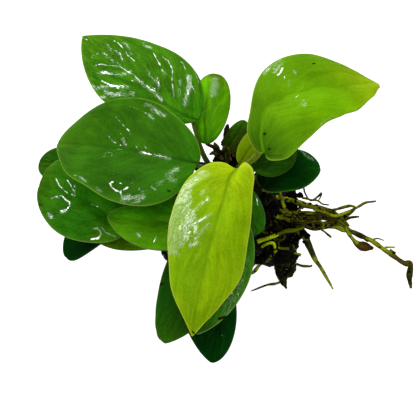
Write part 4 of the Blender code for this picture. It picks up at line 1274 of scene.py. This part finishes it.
# The strands of the root clump, and the core that they lie on.
CLUMP_STRANDS = 26
CLUMP_TURN = 2.4        # radians from one strand to the next
CLUMP_RADIUS = 0.50 * MM
CLUMP_STEPS = 7
CLUMP_SIDES = 9
CLUMP_SEED = 60
CLUMP_WANDER = 0.9 * MM
CORE_SHARE = 0.8
CORE_SIDES = 18

# Root skins: the fresh colour, the old colour and the share of near-black mottle on them, partly soil and
# partly painted shade between and under the roots. The black, mat and tangle skins are darkened for that
# shade too.
SKINS = {
    "plain": ((0.24, 0.29, 0.004), (0.095, 0.090, 0.004), 0.24),
    "bright": ((0.42, 0.60, 0.002), (0.26, 0.34, 0.002), 0.05),
    "olive": ((0.115, 0.125, 0.002), (0.042, 0.037, 0.002), 0.24),
    "soil_and_shade": ((0.115, 0.125, 0.002), (0.042, 0.037, 0.002), 0.40),
    "black": ((0.022, 0.027, 0.001), (0.004, 0.004, 0.001), 0.70),
    "mat": ((0.014, 0.013, 0.001), (0.003, 0.002, 0.001), 0.85),
    "tangle": ((0.060, 0.062, 0.002), (0.016, 0.013, 0.001), 0.60),
}
SKIN_OF = {
    "root_bright": "bright", "root_hook": "bright", "root_clump": "black", "root_trailing": "olive",
    "root_side": "olive",
}
# Darker spans of a root: the share of its length where one begins, the share where it ends and its colour.
DARK_SPANS = {
    "root_bright": ((0.44, 1.2, (0.060, 0.068, 0.002)),),
    "root_bulb": ((0.76, 1.2, (0.055, 0.020, 0.003)),),
    "root_lower": ((-0.2, 0.52, (0.008, 0.006, 0.002)),),
    "root_side": ((0.72, 1.2, (0.004, 0.003, 0.001)),),
    "root_long": ((0.45, 0.53, (0.010, 0.006, 0.002)), (0.62, 0.82, (0.060, 0.045, 0.003)),
                  (0.82, 0.99, (0.014, 0.008, 0.002))),
}


def root_finish(name, skin, spans=()):
    """Root skin: fresh and old in turn, a near-black mottle on its share of it that is partly soil and
    partly painted shade, darker along the spans given, and painted shade on its sides and underside.
    """
    fresh, old, soil = SKINS[skin]
    made = Finish(name)
    around, along, _ = made.parts(made.node("ShaderNodeUVMap", {"uv_map": "Skin"}))
    place = made.place()
    broad = made.noise(place, 150, 2)
    crumbs = made.noise(place, 520, 4, 0.4)
    lines = made.noise(made.vector(around * 14, along * 9, 0.0), 1.0, 3)
    _, _, face = made.parts(made.node("ShaderNodeNewGeometry", out="Normal"))
    body = made.mix(made.smooth(broad, 0.42, 0.58), fresh, old)
    for first, last, dark in spans:
        begun = made.smooth(along + broad * 0.06, first - 0.01, first + 0.05)
        body = made.mix(begun * (1 - made.smooth(along, last - 0.05, last)) * 0.92, body, dark)
    body = made.dim(body, 0.35 + lines * 0.9 + crumbs * 0.4)
    # Painted shade: the skin is kept light where it faces up and darkened on its sides and underside, as if
    # lit from above.
    body = made.dim(body, 0.12 + made.smooth(face, 0.05, 0.95) * 0.88)
    # Partly painted shade: the near-black mottle stands for soil and for the shade between and under the
    # roots.
    soil_and_shade = made.smooth(crumbs, 0.66 - 0.30 * soil, 0.72 - 0.30 * soil)
    body = made.mix(soil_and_shade, body, (0.0007, 0.0006, 0.0003))
    height = lines * 0.14 + soil_and_shade * 0.12 + crumbs * 0.20
    return made.surface({
        "Base Color": body, "Roughness": 0.40 + soil_and_shade * 0.2, "Specular IOR Level": 0.02,
        "Coat Weight": made.smooth(crumbs, 0.66, 0.70) * 0.6, "Coat Roughness": 0.08}, height)


def knobbly(seed, amount=0.16):
    """Uneven swellings of a root, as a factor of its radius."""
    shift = Vector((seed * 1.7, seed * 0.9, seed * 2.3))

    def squash(point, turn):
        coarse = noise.noise(point * 320 + shift)
        fine = noise.noise(point * 900 + shift)
        return 1 + amount * coarse + 0.6 * amount * fine + 0.5 * amount * math.sin(
            turn * 2 + point.x * 900 + seed)

    return squash


def wander(rings, amount, seed):
    """The rings of a root shaken sideways by a smooth noise, more in its middle than at its ends."""
    shaken = []
    for step, (point, radius) in enumerate(rings):
        ease = math.sin(math.pi * step / (len(rings) - 1)) ** 0.5
        push = noise.noise_vector(point * 190 + Vector((seed * 3.1, 0, 0))) * amount * ease
        shaken.append((point + push, radius))
    return shaken


def clump_routes(line):
    """The strands of the root clump: spread round its middle line and drawn together at its tip."""
    dice = random.Random(5)
    for order in range(CLUMP_STRANDS):
        turn = CLUMP_TURN * order
        share = 0.25 + 0.75 * dice.random()
        drift = dice.uniform(-0.9, 0.9)
        rings = []
        for step, (point, spread) in enumerate(smooth_route(line, CLUMP_STEPS)):
            angle = turn + drift * step / 12
            out = Vector((math.cos(angle), math.sin(angle) * 0.8, math.sin(angle) * 0.5)) * spread * share
            rings.append((point + out, CLUMP_RADIUS * (1 - 0.016 * step)))
        yield order, rings[:len(rings) - dice.randrange(16)]


def add_clump(bm, line):
    """A bundle of strands, a quarter of them lighter olive than the rest, round a knobbly core."""
    for order, rings in clump_routes(line):
        kind = 1 if order % 4 == 1 else 0
        strand = wander(rings, CLUMP_WANDER, order + CLUMP_SEED)
        tube(bm, strand, CLUMP_SIDES, kind, knobbly(order, 0.22))
    core = [Vector((*knot.xyz, knot.w * CORE_SHARE)) for knot in line]
    tube(bm, smooth_route(core, STRAND_STEPS), CORE_SIDES, squash=knobbly(3, 0.35))


def build_main_roots(strand_skin):
    for order, (node, points) in enumerate(ROOTS.items()):
        bm = bmesh.new()
        name = node.split("_")[1] + "_root"
        skins = [root_finish(name + "_skin", SKIN_OF.get(node, "plain"), DARK_SPANS.get(node, ()))]
        route = [in_metres(point) for point in points]
        if node == "root_clump":
            add_clump(bm, route)
            skins.append(strand_skin)
        else:
            rings = wander(smooth_route(route, ROOT_STEPS), ROOT_WANDER, order)
            tube(bm, rings, ROOT_SIDES, squash=knobbly(order))
        piece = new_piece(name, bm, skins)
        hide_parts(node)


def build_side_strands(strand_skin):
    bm = bmesh.new()
    for order, (strand, points) in enumerate(STRANDS.items(), STRAND_SEED):
        route = smooth_route([in_metres(point) for point in points], STRAND_STEPS)
        kind = 1 if strand in LIVELY_STRANDS else 0
        tube(bm, wander(route, STRAND_WANDER, order), STRAND_SIDES, kind, knobbly(order))
    new_piece("side_strands", bm, [strand_skin, root_finish("lively_skin", "plain")])


def build_crown_twigs():
    bm = bmesh.new()
    for order, (twig, points) in enumerate(TWIGS.items(), TWIG_SEED):
        route = smooth_route([in_metres(point) for point in points], STRAND_STEPS)
        kind = 0 if twig.endswith("scale") else 1
        tube(bm, wander(route, TWIG_WANDER, order), TWIG_SIDES, kind, knobbly(order, 0.3))
    finishes = [bark_finish("tan_scale", (0.30, 0.22, 0.08), (0.06, 0.035, 0.008), 40),
                bark_finish("brown_twig", (0.040, 0.022, 0.004), (0.008, 0.005, 0.001), 40)]
    new_piece("crown_twigs", bm, finishes)


# ---- Fine roots and soil ----

GROWTH_SEED = 11
MAT_ROOTS = 130
TANGLE_ROOTS = 30
CREEP_STEP = 0.7 * MM
CREEP_SIDES = 7
FEWEST_RINGS = 6
CRUMB_STEP = 4        # rings from one place for a crumb to the next
CRUMB_SHARE = 0.65

# Black lumps, as x, y, z and radius in millimetres: clods of soil caught between the roots, and dark fills,
# painted shade, in the shaded gaps between the leaves and the roots.
CLODS = (
    (17, -3, 34, 3.4), (13, 0, 36, 3.4), (20, 1.6, 28.5, 3.2), (22, -6, 24, 2.8), (26, -6.5, 19, 2.4),
    (18, -8, 24, 3), (14, -5, 33, 3.6), (10, -9, 28, 3.2), (13, -12, 20, 2.8), (22, -12.5, 17, 3),
    (26, -13, 14, 3.2), (17, -17, 17, 3), (22, -18, 13, 3.6), (25, -3, 25, 2.4), (22, 3, 28, 2.8),
    (27, 2.5, 28, 1.6), (12, -19, 14, 3), (29, -9, 16, 2.2), (27.5, -17.5, 11, 2.2), (-4, 17, 37, 2.8),
    (0, 14, 38, 3), (-6, 12.5, 36, 3), (3, 11, 38.5, 2.6), (-1, 19, 37, 2), (-12.5, 12, 32, 2.4),
    (8, -14, 20, 3.2), (8, -20, 14, 3.2), (32.5, -11.5, 14, 1), (-2.5, 21, 39.5, 2.2),
    (0.5, 18.5, 40, 2.4), (2.8, 18, 40.5, 2.2), (-3.2, 24, 41, 1.6), (-5.5, 18, 39, 2),
    (25.9, 4.7, 28, 2.6), (26.3, 0.6, 26.5, 2.4), (30.5, 0.7, 26, 1.4), (33.9, 1.1, 26, 1.1),
    (36.8, 0.5, 26, 0.9), (29.7, 4.4, 29, 1.3), (33.9, -4.1, 22.5, 1.2), (34.3, -6.4, 20, 1.2),
    (37.7, -5.9, 20, 1.1), (41, -5.5, 20, 0.9), (30.9, -11.1, 23, 1.6), (33, -11.6, 21, 1.2),
    (28.5, -2, 26, 1.8), (-14.4, 14.6, 34, 1.8),
)


def on_stone(point, lift):
    """The point moved towards or away from the stone's middle until it is lift above its surface."""
    offset = point - STONE_CENTRE
    flat = Vector([part / half for part, half in zip(offset, STONE_HALF)])
    reach = stone_reach(flat.normalized())
    return STONE_CENTRE + reach.normalized() * (reach.length + lift)


def creeping_root(dice, start, heading, length, radius, lift=0.0):
    """Rings of a root that feels its way over the stone, lift above it, and down to the ground."""
    point = start.copy()
    rings = []
    count = round(length / CREEP_STEP)
    seed = dice.random() * 50
    for index in range(count + 1):
        share = index / count
        lean = noise.noise_vector(point * 140 + Vector((seed, 0, 0)))
        heading = (heading + lean * 0.5 + Vector((0, 0, -0.16))).normalized()
        thick = radius * (1 - 0.75 * share)
        point = on_stone(point + heading * CREEP_STEP, thick * 0.7 + lift * math.sin(math.pi * share ** 0.7))
        if point.z < thick:
            break
        rings.append((point.copy(), thick))
    return rings


def lump(bm, dice, spot, radius, subdivisions, rough):
    """One uneven clod of soil."""
    made = bmesh.ops.create_icosphere(bm, subdivisions=subdivisions, radius=radius)["verts"]
    shift = Vector([dice.uniform(-50, 50) for _ in range(3)])
    for vert in made:
        way = vert.co.normalized()
        swell = 1 + rough * noise.noise(way * 1.6 + shift) + 0.6 * rough * noise.noise(way * 4.5 + shift)
        vert.co *= swell + 0.35 * rough * noise.noise(way * 11 + shift)
    bmesh.ops.translate(bm, verts=made, vec=spot)


def build_root_mat(dice):
    """The many thin roots that hold the stone, all round it. Gives the places where crumbs of soil stick."""
    bm = bmesh.new()
    crumbs = []
    for order in range(MAT_ROOTS):
        share = dice.random()
        x, y, z, _ = RHIZOME_ROUTE[int(share * len(RHIZOME_ROUTE))]
        start = in_metres((x, y, z - 3)) + Vector((dice.uniform(-3, 3), dice.uniform(-3, 3), 0)) * MM
        turn = dice.uniform(0, 2 * math.pi) if order % 2 else dice.uniform(-1.9, 0.3)
        heading = Vector((math.cos(turn), math.sin(turn), -0.2))
        rings = creeping_root(dice, start, heading, dice.uniform(22, 46) * MM, dice.uniform(0.35, 0.8) * MM)
        if len(rings) > FEWEST_RINGS:
            tube(bm, rings, CREEP_SIDES, squash=knobbly(order, 0.2))
            crumbs += [point for point, _ in rings[CRUMB_STEP::CRUMB_STEP]]
    new_piece("root_mat", bm, [root_finish("mat_skin", "mat")])
    return crumbs


def build_root_tangle(dice):
    """Roots that arch free of the stone on the side that the photograph shows."""
    bm = bmesh.new()
    for order in range(TANGLE_ROOTS):
        start = Vector((dice.uniform(8, 22), dice.uniform(-12, 1), 30)) * MM
        turn = dice.uniform(-1.7, 0.2)
        heading = Vector((math.cos(turn), math.sin(turn), -0.3))
        rings = creeping_root(dice, start, heading, dice.uniform(12, 26) * MM, dice.uniform(0.35, 0.6) * MM,
                              lift=dice.uniform(0.6, 2.0) * MM)
        if len(rings) > FEWEST_RINGS:
            tube(bm, rings, CREEP_SIDES, squash=knobbly(order, 0.2))
    new_piece("root_tangle", bm, [root_finish("tangle_skin", "tangle")])


def soil_finish():
    made = Finish("black_soil")
    grain = made.noise(made.place(), 1300, 3)
    body = made.mix(made.smooth(grain, 0.50, 0.75), (0.0004, 0.0004, 0.0003), (0.0035, 0.0025, 0.001))
    return made.surface({
        "Base Color": body, "Roughness": 0.6, "Specular IOR Level": 0.03,
        "Coat Weight": made.smooth(grain, 0.66, 0.70) * 0.8, "Coat Roughness": 0.08}, grain * 0.5)


def build_soil(dice, crumbs):
    """Crumbs of soil along the root mat, and the clods, partly soil and partly painted shade."""
    bm = bmesh.new()
    for spot in crumbs:
        if dice.random() < CRUMB_SHARE:
            shift = Vector((dice.uniform(-0.5, 0.5), dice.uniform(-0.5, 0.5), dice.uniform(0, 0.4))) * MM
            lump(bm, dice, spot + shift, dice.uniform(0.3, 0.9) * MM, 1, 0.8)
    # Partly painted shade: some clods are dark fills for shaded gaps among the leaves and roots.
    for x, y, z, radius in CLODS:
        lump(bm, dice, in_metres((x, y, z)), radius * MM, 4, 0.45)
    new_piece("soil_crumbs", bm, [soil_finish()])


# ---- The whole plant ----

set_camera()
set_lights()
build_stone()
build_rhizome()
for leaf_node in LEAVES:
    build_leaf(leaf_node)
build_sheaths()
shared_skin = root_finish("strand_skin", "soil_and_shade")
build_main_roots(shared_skin)
build_side_strands(shared_skin)
build_crown_twigs()
growth = random.Random(GROWTH_SEED)
crumb_spots = build_root_mat(growth)
build_root_tangle(growth)
build_soil(growth, crumb_spots)
set_floor()
